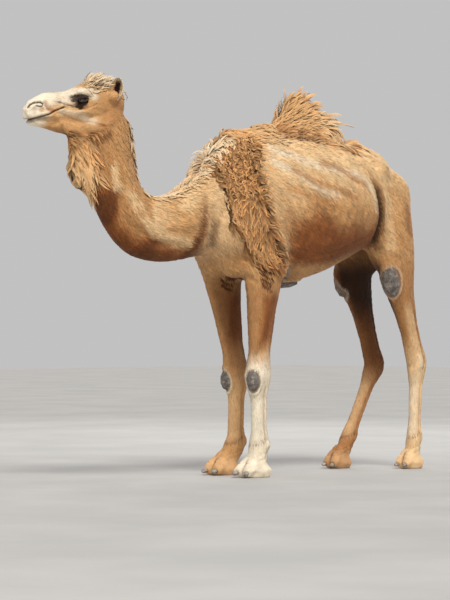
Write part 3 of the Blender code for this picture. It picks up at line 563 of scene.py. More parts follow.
def face_forms(places, normals):
    """Moves the head's skin into lips, nostrils, lids and cheek folds."""
    area = Areas(places)
    beside, along, up = area.beside, area.along, area.up
    wide = np.abs(beside)
    push = np.zeros(len(places))
    on_side = rise(0.012, 0.024, wide) * area.head
    push -= 0.008 * area.near_on_head(MOUTH, 0.006, 0.0015) * area.head
    push += 0.0045 * area.near_on_head(MOUTH, 0.022, 0.01) * area.near_on_head(MOUTH, 0.004, 0.009) * area.head
    push -= 0.011 * area.near_on_head(NOSTRIL, 0.008, 0.002) * on_side
    push += 0.0065 * area.near_on_head(NOSTRIL, 0.012, 0.003, -0.012) * on_side
    push += 0.0035 * area.near_on_head(NOSTRIL, 0.012, 0.003, 0.014) * on_side
    # the split of the upper lip
    split = rise(0.006, 0.0015, wide) * rise(0.47, 0.5, along)
    push -= 0.006 * split * rise(1.9, 1.915, up) * rise(1.965, 1.95, up)
    push -= 0.006 * area.near_on_head(NOSTRIL_FLOOR, 0.006, 0.0015) * on_side
    # the upper lip hangs over the lower one
    push += 0.006 * rise(1.902, 1.912, up - 0.35 * (0.5 - along)) * rise(1.94, 1.915, up) * rise(0.36, 0.44, along)
    # folds, from the nostril to the mouth's corner, under the eye and over the cheek, and then swells
    for height, width, line in (
        (-0.0035, 0.007, ((0.44, 1.975), (0.425, 1.95), (0.4, 1.935))),
        (-0.004, 0.008, ((0.29, 1.975), (0.24, 1.962), (0.185, 1.965), (0.15, 1.985))),
        (-0.0025, 0.006, ((0.35, 1.99), (0.31, 1.985), (0.28, 1.97))),
        (-0.004, 0.012, ((0.335, 1.93), (0.26, 1.905), (0.17, 1.89), (0.1, 1.87))),
        (-0.0035, 0.01, ((0.11, 1.99), (0.095, 1.94), (0.1, 1.89))),
        (-0.0025, 0.008, ((0.15, 2.06), (0.185, 2.03), (0.18, 2.0))),
        (0.0045, 0.022, ((0.3, 1.945), (0.23, 1.935), (0.15, 1.94))),
        (0.004, 0.028, ((0.24, 1.87), (0.17, 1.85), (0.11, 1.85))),
        (0.005, 0.014, ((0.3, 2.03), (0.245, 2.042), (0.18, 2.032))),
        (0.004, 0.016, ((0.5, 1.925), (0.45, 1.935))),
    ):
        push += height * area.near_on_head(line, width, 0) * on_side
    return places + normals * push[:, None]


def body_forms(places, normals):
    """Moves the body's skin into ribs, folds, tendons and toes."""
    area = Areas(places)
    side, forward, up = area.side, area.forward, area.up
    wide = np.abs(side)
    push = np.zeros(len(places))
    outside = rise(0.1, 0.18, wide)
    push -= 0.022 * area.near(THIGH_FOLD, 0.034, 0.0) * outside
    push += 0.01 * area.near(THIGH_FOLD, 0.035, 0.0, 0.035) * outside
    ribs = np.sin((forward + 0.28 * (up - 1.5)) * TURN / 0.062)
    push += (0.0016 * ribs * area.trunk * rise(-0.12, -0.22, forward) * rise(-0.78, -0.66, forward)
             * rise(1.22, 1.32, up) * rise(1.72, 1.6, up))
    for depth, width, line in (
        (0.012, 0.03, NECK_FOLD),
        (0.008, 0.024, ((0.25, 1.5), (0.262, 1.4), (0.27, 1.3), (0.24, 1.2))),
        (0.007, 0.018, ((0.13, 1.19), (0.06, 1.14), (0.02, 1.08))),
        (0.005, 0.014, ((0.17, 1.15), (0.11, 1.105), (0.07, 1.06))),
        (0.006, 0.02, ((-0.1, 1.243), (-0.277, 1.2), (-0.463, 1.236), (-0.804, 1.35))),
        (0.008, 0.024, ((-0.15, 1.33), (-0.17, 1.24), (-0.15, 1.16))),
    ):
        push -= depth * area.near(line, width, 0) * outside * (1 - area.head)
    for height, width, lines in (
        (0.006, 0.05, FLANK_SWELLS), (-0.006, 0.045, FLANK_HOLLOWS), (0.006, 0.05, NECK_SWELLS),
        (-0.012, 0.045, (CHEST_HOLLOW,)),
    ):
        for line in lines:
            push += height * area.near(line, width, 0) * rise(0.04, 0.09, wide) * (1 - area.leg)
    hock = area.hind_leg * rise(0.05, 0.02, np.abs(up - 0.62))
    push += 0.006 * hock * rise(0.022, 0.004, np.abs(area.ahead - 0.01))
    push -= 0.005 * hock * rise(0.014, 0.002, np.abs(area.ahead + 0.022))
    # legs: a groove between the bone and the tendons, a cleft between the toes, creases, and rims round the calluses
    shank = rise(0.52, 0.46, up) * rise(0.16, 0.22, up)
    push -= 0.005 * shank * rise(0.01, 0.001, np.abs(area.ahead + 0.006))
    push += 0.0025 * shank * rise(0.012, 0.002, np.abs(area.ahead + 0.024))
    gaskin = area.hind_leg * rise(0.62, 0.7, up) * rise(1.02, 0.88, up)
    push -= 0.007 * gaskin * rise(0.016, 0.002, np.abs(area.ahead + 0.03))
    push += 0.006 * area.leg * rise(0.035, 0.01, np.abs(up - 0.185)) * rise(-0.005, -0.03, area.ahead)
    cleft = rise(0.01, 0.002, np.abs(area.outward)) * rise(0.03, 0.06, area.ahead)
    push -= 0.008 * cleft * rise(0.085, 0.055, up)
    for crease in (0.125, 0.095):
        push -= 0.003 * rise(0.006, 0.001, np.abs(up - crease + 0.3 * area.ahead)) * area.leg
    push += 0.0065 * rise(1.5, 1.2, area.callus) * rise(0.85, 1.1, area.callus)
    for line in ARMPIT:
        push -= 0.005 * area.fore_leg * area.near_on_leg(line, 0.014, 0.002)
    # neck: its cord and the groove below that
    for height, width, line in (
        (0.008, 0.05, ((0.9, 1.78), (0.86, 1.56), (0.78, 1.44), (0.62, 1.36), (0.42, 1.38))),
        (-0.008, 0.035, ((0.965, 1.7), (0.93, 1.5), (0.85, 1.36), (0.7, 1.26), (0.52, 1.26))),
    ):
        push += height * area.near(line, width, 0) * rise(0.03, 0.07, wide) * area.neck
    return places + normals * push[:, None]


def make_skin():
    skin = fused_flesh()
    finer_head(skin)
    places, edges, _ = numbers(skin.data)
    area = Areas(places)
    broad = np.clip(1 - area.leg - area.head - area.tail - area.foot, 0, 1)
    places = relax(places, edges, np.ones(len(places)), 3)
    places = relax(places, edges, broad, 30)
    places = relax(places, edges, np.clip(area.leg - area.foot, 0, 1) * 0.6, 8)
    rump = rise(-0.9, -1.0, area.forward) * rise(1.36, 1.48, area.up) * (1 - area.tail)
    saddle = rise(-0.3, -0.2, area.forward) * rise(0.26, 0.16, area.forward) * rise(1.76, 1.84, area.up)
    places = relax(places, edges, np.maximum(rump, saddle), 60)
    put(skin.data, places)
    places, edges, normals = numbers(skin.data)
    depth = coat_depth(places)
    places = places - normals * (depth * (1 - 0.6 * Areas(places).crown))[:, None]
    places = relax(places, edges, np.clip(broad + area.beard, 0, 1), 8)
    put(skin.data, places)
    places, _, normals = numbers(skin.data)
    places = body_forms(places, normals)
    places = face_forms(places, normals)
    places[:, 2] = np.maximum(places[:, 2], CAD_BOX[0].z)
    put(skin.data, places)
    thin = skin.modifiers.new("thin out", "DECIMATE")
    thin.ratio = SKIN_TRIANGLES / sum(len(face.vertices) - 2 for face in skin.data.polygons)
    apply_modifiers(skin)
    places, _, normals = numbers(skin.data)
    paint_points(skin.data, "coat", coat_colour_and_painted_light(places))
    skin.data.shade_smooth()
    return skin


class Value:
    """A number on its way through a material, worked on with plain arithmetic."""

    def __init__(self, finish, socket):
        self.finish = finish
        self.socket = socket

    def worked(self, operation, *inputs):
        return self.finish.node("ShaderNodeMath", {"operation": operation}, dict(enumerate(inputs)))

    def __add__(self, other):
        return self.worked("ADD", self, other)

    def __radd__(self, other):
        return self.worked("ADD", other, self)

    def __mul__(self, other):
        return self.worked("MULTIPLY", self, other)


class Finish:
    """A material and the nodes that feed its shader."""

    def __init__(self, name, **constants):
        self.material = bpy.data.materials.new(name)
        self.material.use_nodes = True
        self.tree = self.material.node_tree
        self.shader = self.tree.nodes["Principled BSDF"]
        for socket, value in constants.items():
            self.shader.inputs[socket.replace("_", " ")].default_value = value
        self.place = self.node("ShaderNodeTexCoord", output="Object")

    def node(self, kind, settings=None, inputs=None, output=0):
        made = self.tree.nodes.new(kind)
        for name, value in (settings or {}).items():
            if name == "stops":
                while len(made.color_ramp.elements) < len(value):
                    made.color_ramp.elements.new(0.5)
                for element, (position, colour) in zip(made.color_ramp.elements, value):
                    element.position = position
                    element.color = (*colour, 1)
            else:
                setattr(made, name, value)
        for name, value in (inputs or {}).items():
            if isinstance(value, Value):
                self.tree.links.new(value.socket, made.inputs[name])
            else:
                made.inputs[name].default_value = value
        return Value(self, made.outputs[output])

    def noise(self, scale, detail=3.0, rough=0.55, at_place=None, bend=0.0):
        sizes = {"Vector": at_place or self.place, "Scale": scale, "Detail": detail, "Roughness": rough,
                 "Distortion": bend}
        return self.node("ShaderNodeTexNoise", None, sizes)

    def stretched(self, x, y, z):
        return self.node("ShaderNodeMapping", None, {"Vector": self.place, "Scale": (x, y, z)})

    def ramp(self, value, *stops):
        return self.node("ShaderNodeValToRGB", {"stops": stops}, {"Fac": value})

    def mix(self, first, second, share, blend="MIX"):
        colours = {0: share, 6: first if isinstance(first, Value) else (*first, 1),
                   7: second if isinstance(second, Value) else (*second, 1)}
        return self.node("ShaderNodeMix", {"data_type": "RGBA", "blend_type": blend}, colours, 2)

    def painted(self, name):
        return self.node("ShaderNodeAttribute", {"attribute_name": name}, output="Color")

    def bump(self, height, distance, strength=1.0):
        return self.node("ShaderNodeBump", None, {"Height": height, "Distance": distance, "Strength": strength})

    def feed(self, **links):
        for socket, value in links.items():
            self.tree.links.new(value.socket, self.shader.inputs[socket.replace("_", " ")])
        return self.material


def grey(value):
    return (value, value, value)


def coat_finish(name, fleck):
    """Hair: the painted coat colour, flecked lighter and darker, with a fine hairy bump."""
    hair = Finish(name, Roughness=0.75, Specular_IOR_Level=0.25, Sheen_Weight=0.12, Sheen_Roughness=0.5)
    patches = hair.ramp(hair.noise(26, 4, 0.6), (0.3, grey(1 - fleck)), (0.7, grey(1 + fleck * 0.6)))
    strands = hair.ramp(hair.noise(240, 3, 0.7), (0.25, grey(1 - fleck)), (0.75, grey(1 + fleck * 0.5)))
    colour = hair.mix(hair.painted("coat"), patches, 1.0, "MULTIPLY")
    colour = hair.mix(colour, strands, 1.0, "MULTIPLY")
    fuzz = hair.noise(420, 3, 0.7, bend=0.6) * 0.7 + hair.noise(120, 2, 0.6) * 0.6
    rough = 0.68 + hair.noise(60) * 0.2
    return hair.feed(Base_Color=colour, Roughness=rough, Normal=hair.bump(fuzz, 0.0022, 0.7))


def horn_finish():
    """Nail horn: dark and pale in soft clouds, rougher where paler, with fine ridges."""
    horn = Finish("horn", Roughness=0.4, Coat_Weight=0.1)
    cloud = horn.noise(60, 4, 0.6)
    colour = horn.ramp(cloud, (0.25, tone(88, 80, 72)), (0.5, tone(146, 136, 124)), (0.75, tone(204, 194, 180)))
    ridges = horn.noise(1, 3, 0.6, horn.stretched(90, 90, 900)) * 0.6 + horn.noise(500) * 0.3
    return horn.feed(Base_Color=colour, Roughness=0.3 + cloud * 0.4, Normal=horn.bump(ridges, 0.0012, 0.7))


def callus_finish():
    """Callus: bald grey hide, cracked into small plates."""
    hide = Finish("callus", Roughness=0.8, Specular_IOR_Level=0.3)
    cracks = hide.node("ShaderNodeTexVoronoi", {"feature": "DISTANCE_TO_EDGE"}, {"Vector": hide.place, "Scale": 90.0})
    seam = hide.ramp(cracks, (0.0, grey(0.25)), (0.09, grey(1.0)))
    stops = (0.3, tone(88, 82, 78)), (0.55, tone(128, 120, 112)), (0.75, tone(176, 164, 150))
    tint = hide.ramp(hide.noise(45, 4), *stops)
    colour = hide.mix(tint, seam, 0.55, "MULTIPLY")
    height = hide.node("ShaderNodeMath", {"operation": "MINIMUM"}, {0: cracks, 1: 0.12}) * 5 + hide.noise(400) * 0.3
    return hide.feed(Base_Color=colour, Roughness=0.66 + hide.noise(90) * 0.25, Normal=hide.bump(height, 0.0016, 0.8))


def eye_finish():
    """A dark wet eye, mottled near black and dark brown."""
    ball = Finish("eye", Roughness=0.06, Coat_Weight=1.0, Coat_Roughness=0.03)
    iris = ball.ramp(ball.noise(140, 4, 0.6), (0.35, tone(14, 8, 6)), (0.7, tone(58, 32, 16)))
    return ball.feed(Base_Color=iris, Normal=ball.bump(ball.noise(300), 0.0002, 0.2))


def lash_finish():
    lash = Finish("lash", Roughness=0.5)
    colour = lash.ramp(lash.noise(200), (0.3, tone(22, 14, 10)), (0.7, tone(58, 38, 24)))
    return lash.feed(Base_Color=colour, Normal=lash.bump(lash.noise(600), 0.0005, 0.4))


def floor_finish():
    ground = Finish("floor", Roughness=0.9)
    tint = ground.ramp(ground.noise(1.3, 3), (0.35, tone(176, 175, 172)), (0.65, tone(186, 184, 181)))
    return ground.feed(Base_Color=tint, Normal=ground.bump(ground.noise(60), 0.001, 0.2))


def finish_with(piece, material):
    piece.data.materials.clear()
    piece.data.materials.append(material)


class Unwrap:
    """The skin's own flat layout, read at any point near the skin."""

    def __init__(self, skin, share):
        sheet = bpy.data.objects.new("layout", skin.data.copy())
        bpy.context.scene.collection.objects.link(sheet)
        sheet.modifiers.new("thin out", "DECIMATE").ratio = share
        apply_modifiers(sheet)
        bpy.ops.object.select_all(action="DESELECT")
        bpy.context.view_layer.objects.active = sheet
        sheet.select_set(True)
        bpy.ops.object.mode_set(mode="EDIT")
        bpy.ops.mesh.select_all(action="SELECT")
        bpy.ops.uv.smart_project(angle_limit=math.radians(66), island_margin=0.004)
        bpy.ops.object.mode_set(mode="OBJECT")
        mesh = bmesh.new()
        mesh.from_mesh(sheet.data)
        bmesh.ops.triangulate(mesh, faces=mesh.faces)
        layer = mesh.loops.layers.uv.active
        mesh.faces.ensure_lookup_table()
        self.tree = BVHTree.FromBMesh(mesh)
        self.corners = [[vertex.co.copy() for vertex in face.verts] for face in mesh.faces]
        self.flat = [[loop[layer].uv.to_3d() for loop in face.loops] for face in mesh.faces]
        mesh.free()
        bpy.data.objects.remove(sheet)

    def read(self, points):
        places = np.empty((len(points), 2))
        for i, point in enumerate(points):
            spot, _, face, _ = self.tree.find_nearest(Vector(point))
            flat = barycentric(spot, *self.corners[face], *self.flat[face])
            places[i] = flat.x, flat.y
        return np.clip(places, 0.004, 0.996)


class Coat:
    """Grows locks of hair on the skin."""

    def __init__(self, skin, colour, layout_share):
        self.colour = colour
        self.layout = Unwrap(skin, layout_share)
        mesh = bmesh.new()
        mesh.from_mesh(skin.data)
        bmesh.ops.triangulate(mesh, faces=mesh.faces)
        self.tree = BVHTree.FromBMesh(mesh)
        mesh.verts.ensure_lookup_table()
        self.places = np.array([vertex.co for vertex in mesh.verts])
        self.faces = np.array([[vertex.index for vertex in face.verts] for face in mesh.faces])
        mesh.free()
        first, second, third = (self.places[self.faces[:, i]] for i in range(3))
        self.sizes = np.linalg.norm(np.cross(second - first, third - first), axis=1) / 2

    def roots(self, spacing, share_of):
        """Even but irregular roots: about one in each small cell where share_of says 1, fewer where less."""
        middles = self.places[self.faces].mean(axis=1)
        weight = self.sizes * np.clip(share_of(middles), 0, 1)
        count = int(weight.sum() / spacing ** 2 * 4)
        chosen = CHANCE.choice(len(weight), count, p=weight / weight.sum())
        first, second, third = (self.places[self.faces[chosen, i]] for i in range(3))
        across, down = CHANCE.random((2, count, 1))
        flip = across + down > 1
        across, down = np.where(flip, 1 - across, across), np.where(flip, 1 - down, down)
        points = first + (second - first) * across + (third - first) * down
        cells = np.floor(points / spacing).astype(int)
        _, kept = np.unique(cells, axis=0, return_index=True)
        kept.sort()
        return points[kept]

    def settle(self, points):
        """The nearest places on the skin and the way out of it there."""
        spots = np.empty_like(points)
        normals = np.empty_like(points)
        for i, point in enumerate(points):
            spots[i], normals[i], _, _ = self.tree.find_nearest(Vector(point))
        return spots, normals

    def grow(self, name, roots, style):
        """One closed, tapering lock at each root, which follows the lie of the coat over the skin.

        style(roots, normals) gives what look_of does, and maybe "stand", the share of each lock that stands up.
        """
        spots, normals = self.settle(roots)
        look = style(spots, normals)
        count, rings = len(spots), look["rings"]
        length, width = look["length"], np.broadcast_to(look["width"], count)
        lean = CHANCE.normal(0, look["stray"], count)
        phase = CHANCE.random(count) * TURN
        stand = np.broadcast_to(look.get("stand", 0.0), count).astype(float)
        pace = length * np.sqrt(1 - stand ** 2) / rings
        lift = np.maximum(look["lift"], stand * length)
        swing = look["swing"] * (1 - 0.8 * stand)
        centres, ups, ways = [], [], []
        places = spots.copy()
        for k in range(rings + 1):
            share = k / rings
            way = look["lie"](places, normals)
            way = way - normals * np.sum(way * normals, axis=1)[:, None]
            way /= np.maximum(np.linalg.norm(way, axis=1), 1e-6)[:, None]
            side = np.cross(normals, way)
            angle = lean + swing * np.sin(phase + share * look["turns"] * TURN)
            way = way * np.cos(angle)[:, None] + side * np.sin(angle)[:, None]
            height = lift * np.sin(share * math.pi * 0.5) ** look["rise"] - ROOT_DEPTH
            height = height + swing * 0.006 * np.cos(phase + share * look["turns"] * TURN) * share
            centre = places + normals * height[:, None]
            centres.append(centre)
            ups.append(normals)
            ways.append(way)
            if k < rings:
                onward = places + way * pace[:, None]
                followed, turned = self.settle(onward)
                # standing locks go straight on, and the others follow the skin
                straight = (stand > STRAIGHT_FROM)[:, None]
                places, normals = np.where(straight, onward, followed), np.where(straight, normals, turned)
        return self.lay_locks(name, spots, centres, ups, ways, width, look)

    def lay_locks(self, name, spots, centres, ups, ways, width, look):
        count, rings = len(spots), look["rings"]
        profile = np.interp(np.arange(rings) / rings, (0, 0.35, 0.7, 1), (0.75, 1.0, 0.66, 0.15))
        points = np.empty((count, rings * 3 + 1, 3))
        facing = np.empty_like(points)
        shade = np.empty((count, rings * 3 + 1))
        for k in range(rings):
            side = np.cross(ups[k], ways[k])
            half = (width * profile[k] / 2)[:, None]
            points[:, k * 3] = centres[k] - side * half
            points[:, k * 3 + 1] = centres[k] + side * half
            points[:, k * 3 + 2] = centres[k] + ups[k] * half * 2 * THICKNESS
            shade[:, k * 3:k * 3 + 3] = k / rings
            facing[:, k * 3] = ups[k] - side * look["round"]
            facing[:, k * 3 + 1] = ups[k] + side * look["round"]
            facing[:, k * 3 + 2] = ups[k]
        points[:, -1] = centres[rings]
        facing[:, -1] = ups[rings]
        shade[:, -1] = 1
        faces = [(0, 2, 1)]
        for k in range(rings - 1):
            a, b = k * 3, k * 3 + 3
            for i in range(3):
                j = (i + 1) % 3
                faces += [(a + i, a + j, b + i), (a + j, b + j, b + i)]
        last = rings * 3 - 3
        faces += [(last + i, last + (i + 1) % 3, rings * 3) for i in range(3)]
        faces = np.array(faces)
        size = rings * 3 + 1
        every = (faces[None] + (np.arange(count) * size)[:, None, None]).reshape(-1, 3)
        mesh = bpy.data.meshes.new(name)
        mesh.vertices.add(count * size)
        mesh.vertices.foreach_set("co", points.astype(np.float32).ravel())
        mesh.loops.add(every.size)
        mesh.loops.foreach_set("vertex_index", every.astype(np.int32).ravel())
        mesh.polygons.add(len(every))
        mesh.polygons.foreach_set("loop_start", (np.arange(len(every)) * 3).astype(np.int32))
        mesh.update(calc_edges=True)
        # colours: the skin's marking at the root, with painted shade low down and a painted highlight at the tip
        base = self.colour(spots)
        bright = CHANCE.normal(1, look["vary"], count).clip(0.45, 1.6)
        low, high = look["shades"]
        factor = (low + (high - low) * shade ** look["fade"]) * bright[:, None]
        # the painted shade turns browner as it deepens
        warmth = np.minimum(factor, 1)[:, :, None] ** np.array((-0.12, 0.0, 0.22))
        colours = base[:, None, :] * factor[:, :, None] * warmth
        warm = CHANCE.normal(0, 0.05, count)[:, None]
        colours[:, :, 0] *= 1 + warm
        colours[:, :, 2] *= 1 - warm
        colours *= np.minimum(1, BRIGHTEST / colours.max(axis=2))[:, :, None]
        paint_points(mesh, "coat", colours.reshape(-1, 3))
        # a small patch of the skin's layout for each lock, along it and across it
        flat = self.layout.read(spots)
        across = np.tile((-1, 1, 0), rings + 1)[:size]
        spread = np.stack((across * PATCH[0], (shade[0] - 0.5) * PATCH[1]), axis=1)
        corner = (flat[:, None, :] + spread[None]).reshape(-1, 2)
        layer = mesh.uv_layers.new(name="OFBake")
        layer.data.foreach_set("uv", corner[every.ravel()].astype(np.float32).ravel())
        piece = bpy.data.objects.new(name, mesh)
        bpy.context.scene.collection.objects.link(piece)
        mesh.shade_smooth()
        facing /= np.maximum(np.linalg.norm(facing, axis=2), 1e-6)[:, :, None]
        mesh.normals_split_custom_set_from_vertices(facing.reshape(-1, 3).astype(np.float32))
        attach(piece, "root")
        return piece


def barycentric(spot, first, second, third, *flat):
    """The flat place of a spot on a triangle."""
    ahead, aside, reach = second - first, third - first, spot - first
    a, b, c = ahead.dot(ahead), ahead.dot(aside), aside.dot(aside)
    d, e = reach.dot(ahead), reach.dot(aside)
    whole = max(a * c - b * b, 1e-12)
    v, w = (c * d - b * e) / whole, (a * e - b * d) / whole
    return flat[0] * (1 - v - w) + flat[1] * v + flat[2] * w


HUMP_FOCUS = (0.0, -0.19, 1.9)


def steer(points, *pulls):
    """The lie of the coat: each pull is a direction in the camel's terms and how much it counts at each point."""
    total = np.zeros_like(points)
    for (side, forward, up), share in pulls:
        total += np.stack((np.broadcast_to(side, len(points)), np.broadcast_to(-np.asarray(forward), len(points)),
                           np.broadcast_to(up, len(points))), axis=1) * share[:, None]
    return total


def lie_of_coat(points, normals):
    area = Areas(points)
    outward = np.sign(area.side)
    long_neck = area.neck * (1 - area.mane)
    steep = rise(0.7, 0.9, area.forward)
    return steer(
        points,
        ((0, -0.8, -0.6), area.trunk * (1 - area.shoulder) + 0.02),
        ((outward * 0.3, -0.55, -0.85), area.thigh + area.tail * 0.2),
        ((0, -0.15, -1.0), np.maximum(area.leg, area.tail) + area.shoulder * 0.8),
        ((outward * 0.2, -0.8, -0.35), long_neck * (1 - steep)),
        ((outward * 0.2, -0.5, -0.9), long_neck * steep + area.beard),
        ((outward * 0.35, -0.85, -0.7), area.mane * (1 - steep) + area.withers),
        ((outward * 0.5, -0.9, -0.9), area.mane * steep),
        ((0.24, -0.95, 0.15), area.head),
    )


def lie_of_hump(points, normals):
    side, forward, up = body_place(points)
    reach = np.stack((side * 0.6, -(forward - HUMP_FOCUS[1]), up - HUMP_FOCUS[2] + 0.015), axis=1)
    behind = rise(-0.45, -0.75, forward)
    reach /= np.maximum(np.linalg.norm(reach, axis=1), 1e-6)[:, None]
    return reach + (0.0, 0.3, 0.0) + np.array((0.0, 0.4, -0.75)) * behind[:, None]


def spots_vary(points, spread):
    """A factor about 1 that differs from lock to lock."""
    return CHANCE.normal(1, spread, len(points)).clip(0.5, 1.7)


LOOK_KEYS = ("rings", "swing", "turns", "stray", "vary", "shades", "fade", "rise", "round")
# Each kind of lock: its rings, how far and how often it swings, how far it strays from the lie, how much its
# brightness varies, its painted shade at the root and painted highlight at the tip, how they fade, how its lift
# rises, and how round it looks.
LOOKS = {
    "short": (2, 0.1, 1.0, 0.16, 0.1, (0.8, 1.1), 1.0, 0.9, 0.3),
    "hump": (6, 0.26, 0.8, 0.26, 0.18, (0.24, 1.3), 0.7, 1.1, 0.9),
    "shoulder": (7, 0.5, 1.25, 0.2, 0.25, (0.03, 1.48), 1.6, 0.8, 1.1),
    "mane": (5, 0.35, 0.8, 0.3, 0.16, (0.58, 1.14), 0.8, 1.0, 0.9),
    "beard": (6, 0.22, 0.8, 0.18, 0.22, (0.16, 1.45), 0.9, 0.9, 0.9),
    "tail": (5, 0.2, 0.8, 0.1, 0.2, (0.4, 1.4), 0.8, 0.9, 0.8),
    "ear": (2, 0.1, 1.0, 0.25, 0.12, (0.75, 1.15), 1.0, 1.0, 0.4),
}


def look_of(kind, length, width, lift, lie=lie_of_coat, **others):
    """A kind of lock with its measures, and anything that differs from its row in LOOKS."""
    return {**dict(zip(LOOK_KEYS, LOOKS[kind])), "length": length, "width": width, "lift": lift, "lie": lie, **others}


def short_style(points, normals):
    area = Areas(points)
    long = 1 + 0.4 * area.trunk + 0.4 * area.neck
    small = 1 - 0.4 * area.head - 0.25 * area.leg - 0.4 * area.foot
    length = 0.026 * long * small * spots_vary(points, 0.22)
    lift = coat_depth(points) * spots_vary(points, 0.2) * 0.8
    return look_of("short", length, length * 0.22, lift)


def hump_style(points, normals):
    _, forward, up = body_place(points)
    back = rise(-0.35, -0.7, forward)
    top = rise(1.9, 2.02, up)
    spike = CHANCE.random(len(points)) > 0.6
    length = (0.075 + 0.075 * back + 0.018 * top) * spots_vary(points, 0.25)
    stand = top * (0.4 + 0.45 * spike) * (1 - 0.35 * back) * rise(0.15, 0.75, normals[:, 2])
    lift = coat_depth(points) * (0.45 + 0.5 * top)
    return look_of("hump", length, length * (0.18 - 0.05 * top), lift, lie_of_hump,
                   stand=stand, stray=0.26 - 0.14 * top)


def shoulder_style(points, normals):
    curl = rise(1.5, 1.64, points[:, 2])
    length = (0.125 - 0.035 * curl) * spots_vary(points, 0.2)
    return look_of("shoulder", length, 0.019 + 0.002 * curl, coat_depth(points) * 1.15,
                   swing=0.5 + 0.95 * curl, stray=0.2 + 0.5 * curl)


def mane_style(points, normals):
    area = Areas(points)
    shaggy = area.mane * rise(1.66, 1.74, area.up)
    top = area.crown * rise(0.05, 0.11, area.along) * (0.3 + 0.7 * rise(0.058, 0.036, np.abs(area.beside)))
    length = (0.055 + 0.02 * area.withers + 0.025 * shaggy + 0.016 * top) * spots_vary(points, 0.24)
    lift = coat_depth(points) * (1.1 + 0.4 * area.crown + 0.3 * shaggy)
    tuft = CHANCE.random(len(points)) > 0.7
    stand = top * CHANCE.uniform(0.2, 0.8, len(points)) + 0.35 * shaggy * tuft
    return look_of("mane", length, length * (0.19 - 0.07 * area.crown), lift, stand=stand)


def beard_style(points, normals):
    return look_of("beard", 0.115 * spots_vary(points, 0.25), 0.016, coat_depth(points))


def tail_style(points, normals):
    length = 0.09 * spots_vary(points, 0.2)
    return look_of("tail", length, length * 0.11, coat_depth(points) * 0.95)


def furred(area):
    """Where short coat grows: not on long hair's ground, soles, lips or eyes."""
    eye = np.hypot(area.along - EYE[1], area.up - EYE[2])
    away = rise(0.03, 0.04, eye) + (1 - area.head) > 0.5
    long = np.maximum.reduce([area.hump, area.shoulder, area.mane, area.withers, area.beard, area.tuft, area.crown])
    away = away * (area.callus > 1.1)
    return np.clip((1 - long) * away * rise(0.012, 0.02, area.up) * rise(0.5, 0.44, area.along * area.head), 0, 1)


def grow_coat(skin):
    coat = Coat(skin, coat_colour_and_painted_light, 0.06)
    short, long = coat_finish("short coat", 0.14), coat_finish("long coat", 0.12)
    beds = (
        ("coat_trunk_left", 0.0105, short_style, lambda a: furred(a) * a.trunk * (a.side > 0)),
        ("coat_trunk_right", 0.0105, short_style, lambda a: furred(a) * a.trunk * (a.side <= 0)),
        ("coat_neck", 0.01, short_style, lambda a: furred(a) * a.neck * (1 - a.trunk)),
        ("coat_fore_legs", 0.0092, short_style, lambda a: furred(a) * a.fore_leg * (1 - a.trunk)),
        ("coat_hind_legs", 0.0098, short_style,
         lambda a: furred(a) * np.maximum(a.hind_leg, a.tail) * (a.forward < -0.5) * (1 - a.trunk)),
        ("coat_head", 0.0068, short_style, lambda a: furred(a) * a.head * (a.along < 0.5)),
        ("hump_locks", 0.012, hump_style, lambda a: a.hump),
        ("shoulder_curls", 0.013, shoulder_style, lambda a: a.shoulder),
        ("mane_locks", 0.01, mane_style,
         lambda a: np.maximum.reduce([a.mane, a.withers, a.crown]) * (1 - a.hump)),
        ("beard_locks", 0.012, beard_style, lambda a: a.beard),
        ("tail_locks", 0.0075, tail_style, lambda a: a.tuft),
    )
    for name, spacing, style, share in beds:
        roots = coat.roots(spacing, lambda points: share(Areas(points)))
        piece = coat.grow(name, roots, style)
        finish_with(piece, short if style is short_style else long)


class Ear:
    """A cupped, pointed ear: its own directions, its shape and its colours."""

    length = 0.122

    def __init__(self, side):
        turn = head_turn().to_3x3()
        self.root = on_head(side * EAR_ROOT[0], *EAR_ROOT[1:])
        self.axis = (turn @ Vector((side * 0.22, 0.22, 1))).normalized()
        opening = turn @ Vector((side * 0.92, -0.62, 0.1))
        self.front = (opening - self.axis * opening.dot(self.axis)).normalized()
        self.across = self.axis.cross(self.front)

    def point(self, along, around):
        """A point of the cup; along runs 0 to 1 to the tip, around -1 to 1 from edge to edge."""
        half = self.half(along)
        wrap = math.radians(120 - 46 * along) * around
        bow = 0.01 * math.sin(math.pi * along)
        return (self.root + self.axis * self.length * along - self.front * (half * math.cos(wrap) + bow)
                + self.across * half * math.sin(wrap))

    def half(self, along):
        return 0.039 * np.sin(math.pi * np.minimum(1, 0.18 + 0.82 * along) ** 0.95).clip(0, 1) ** 0.55 + 0.0015

    def colour(self, points):
        """Pale outside and at the rims, with painted shade in the depth of the cup."""
        along, depth, across = self.measure(points)
        colour = np.tile(CREAM, (len(points), 1))
        inside = self.inside(along, depth, across)
        # the last, near black, is painted shade deep in the cup
        shades = ((STRAW, rise(-0.014, -0.026, depth) * 0.8), (GOLD, rise(0.3, 0.0, along) * 0.7),
                  (BLACK_BROWN, inside * rise(0.022, 0.012, np.abs(across)) * rise(0.9, 0.7, along)))
        for shade, share in shades:
            colour = colour * (1 - share[:, None]) + shade * share[:, None]
        return colour

    def measure(self, points):
        """How far the points are along the ear, 0 to 1, towards its opening, and across it."""
        offset = points - np.array(self.root)
        along, depth, across = (offset @ np.array(way) for way in (self.axis, self.front, self.across))
        return along / self.length, depth, across

    def inside(self, along, depth, across):
        """1 for points on the hollow side of the cup's wall, from how near they are to its middle line."""
        along = along.clip(0, 1)
        reach = np.hypot(depth + 0.01 * np.sin(math.pi * along), across)
        return (reach < self.half(along) - 0.0014).astype(float)

    def lie(self, points, normals):
        return np.tile(np.array(self.axis), (len(points), 1))


def ear_style(ear):
    def style(points, normals):
        length = 0.014 * spots_vary(points, 0.25)
        return look_of("ear", length, 0.0022, np.full(len(points), 0.0028), ear.lie)
    return style


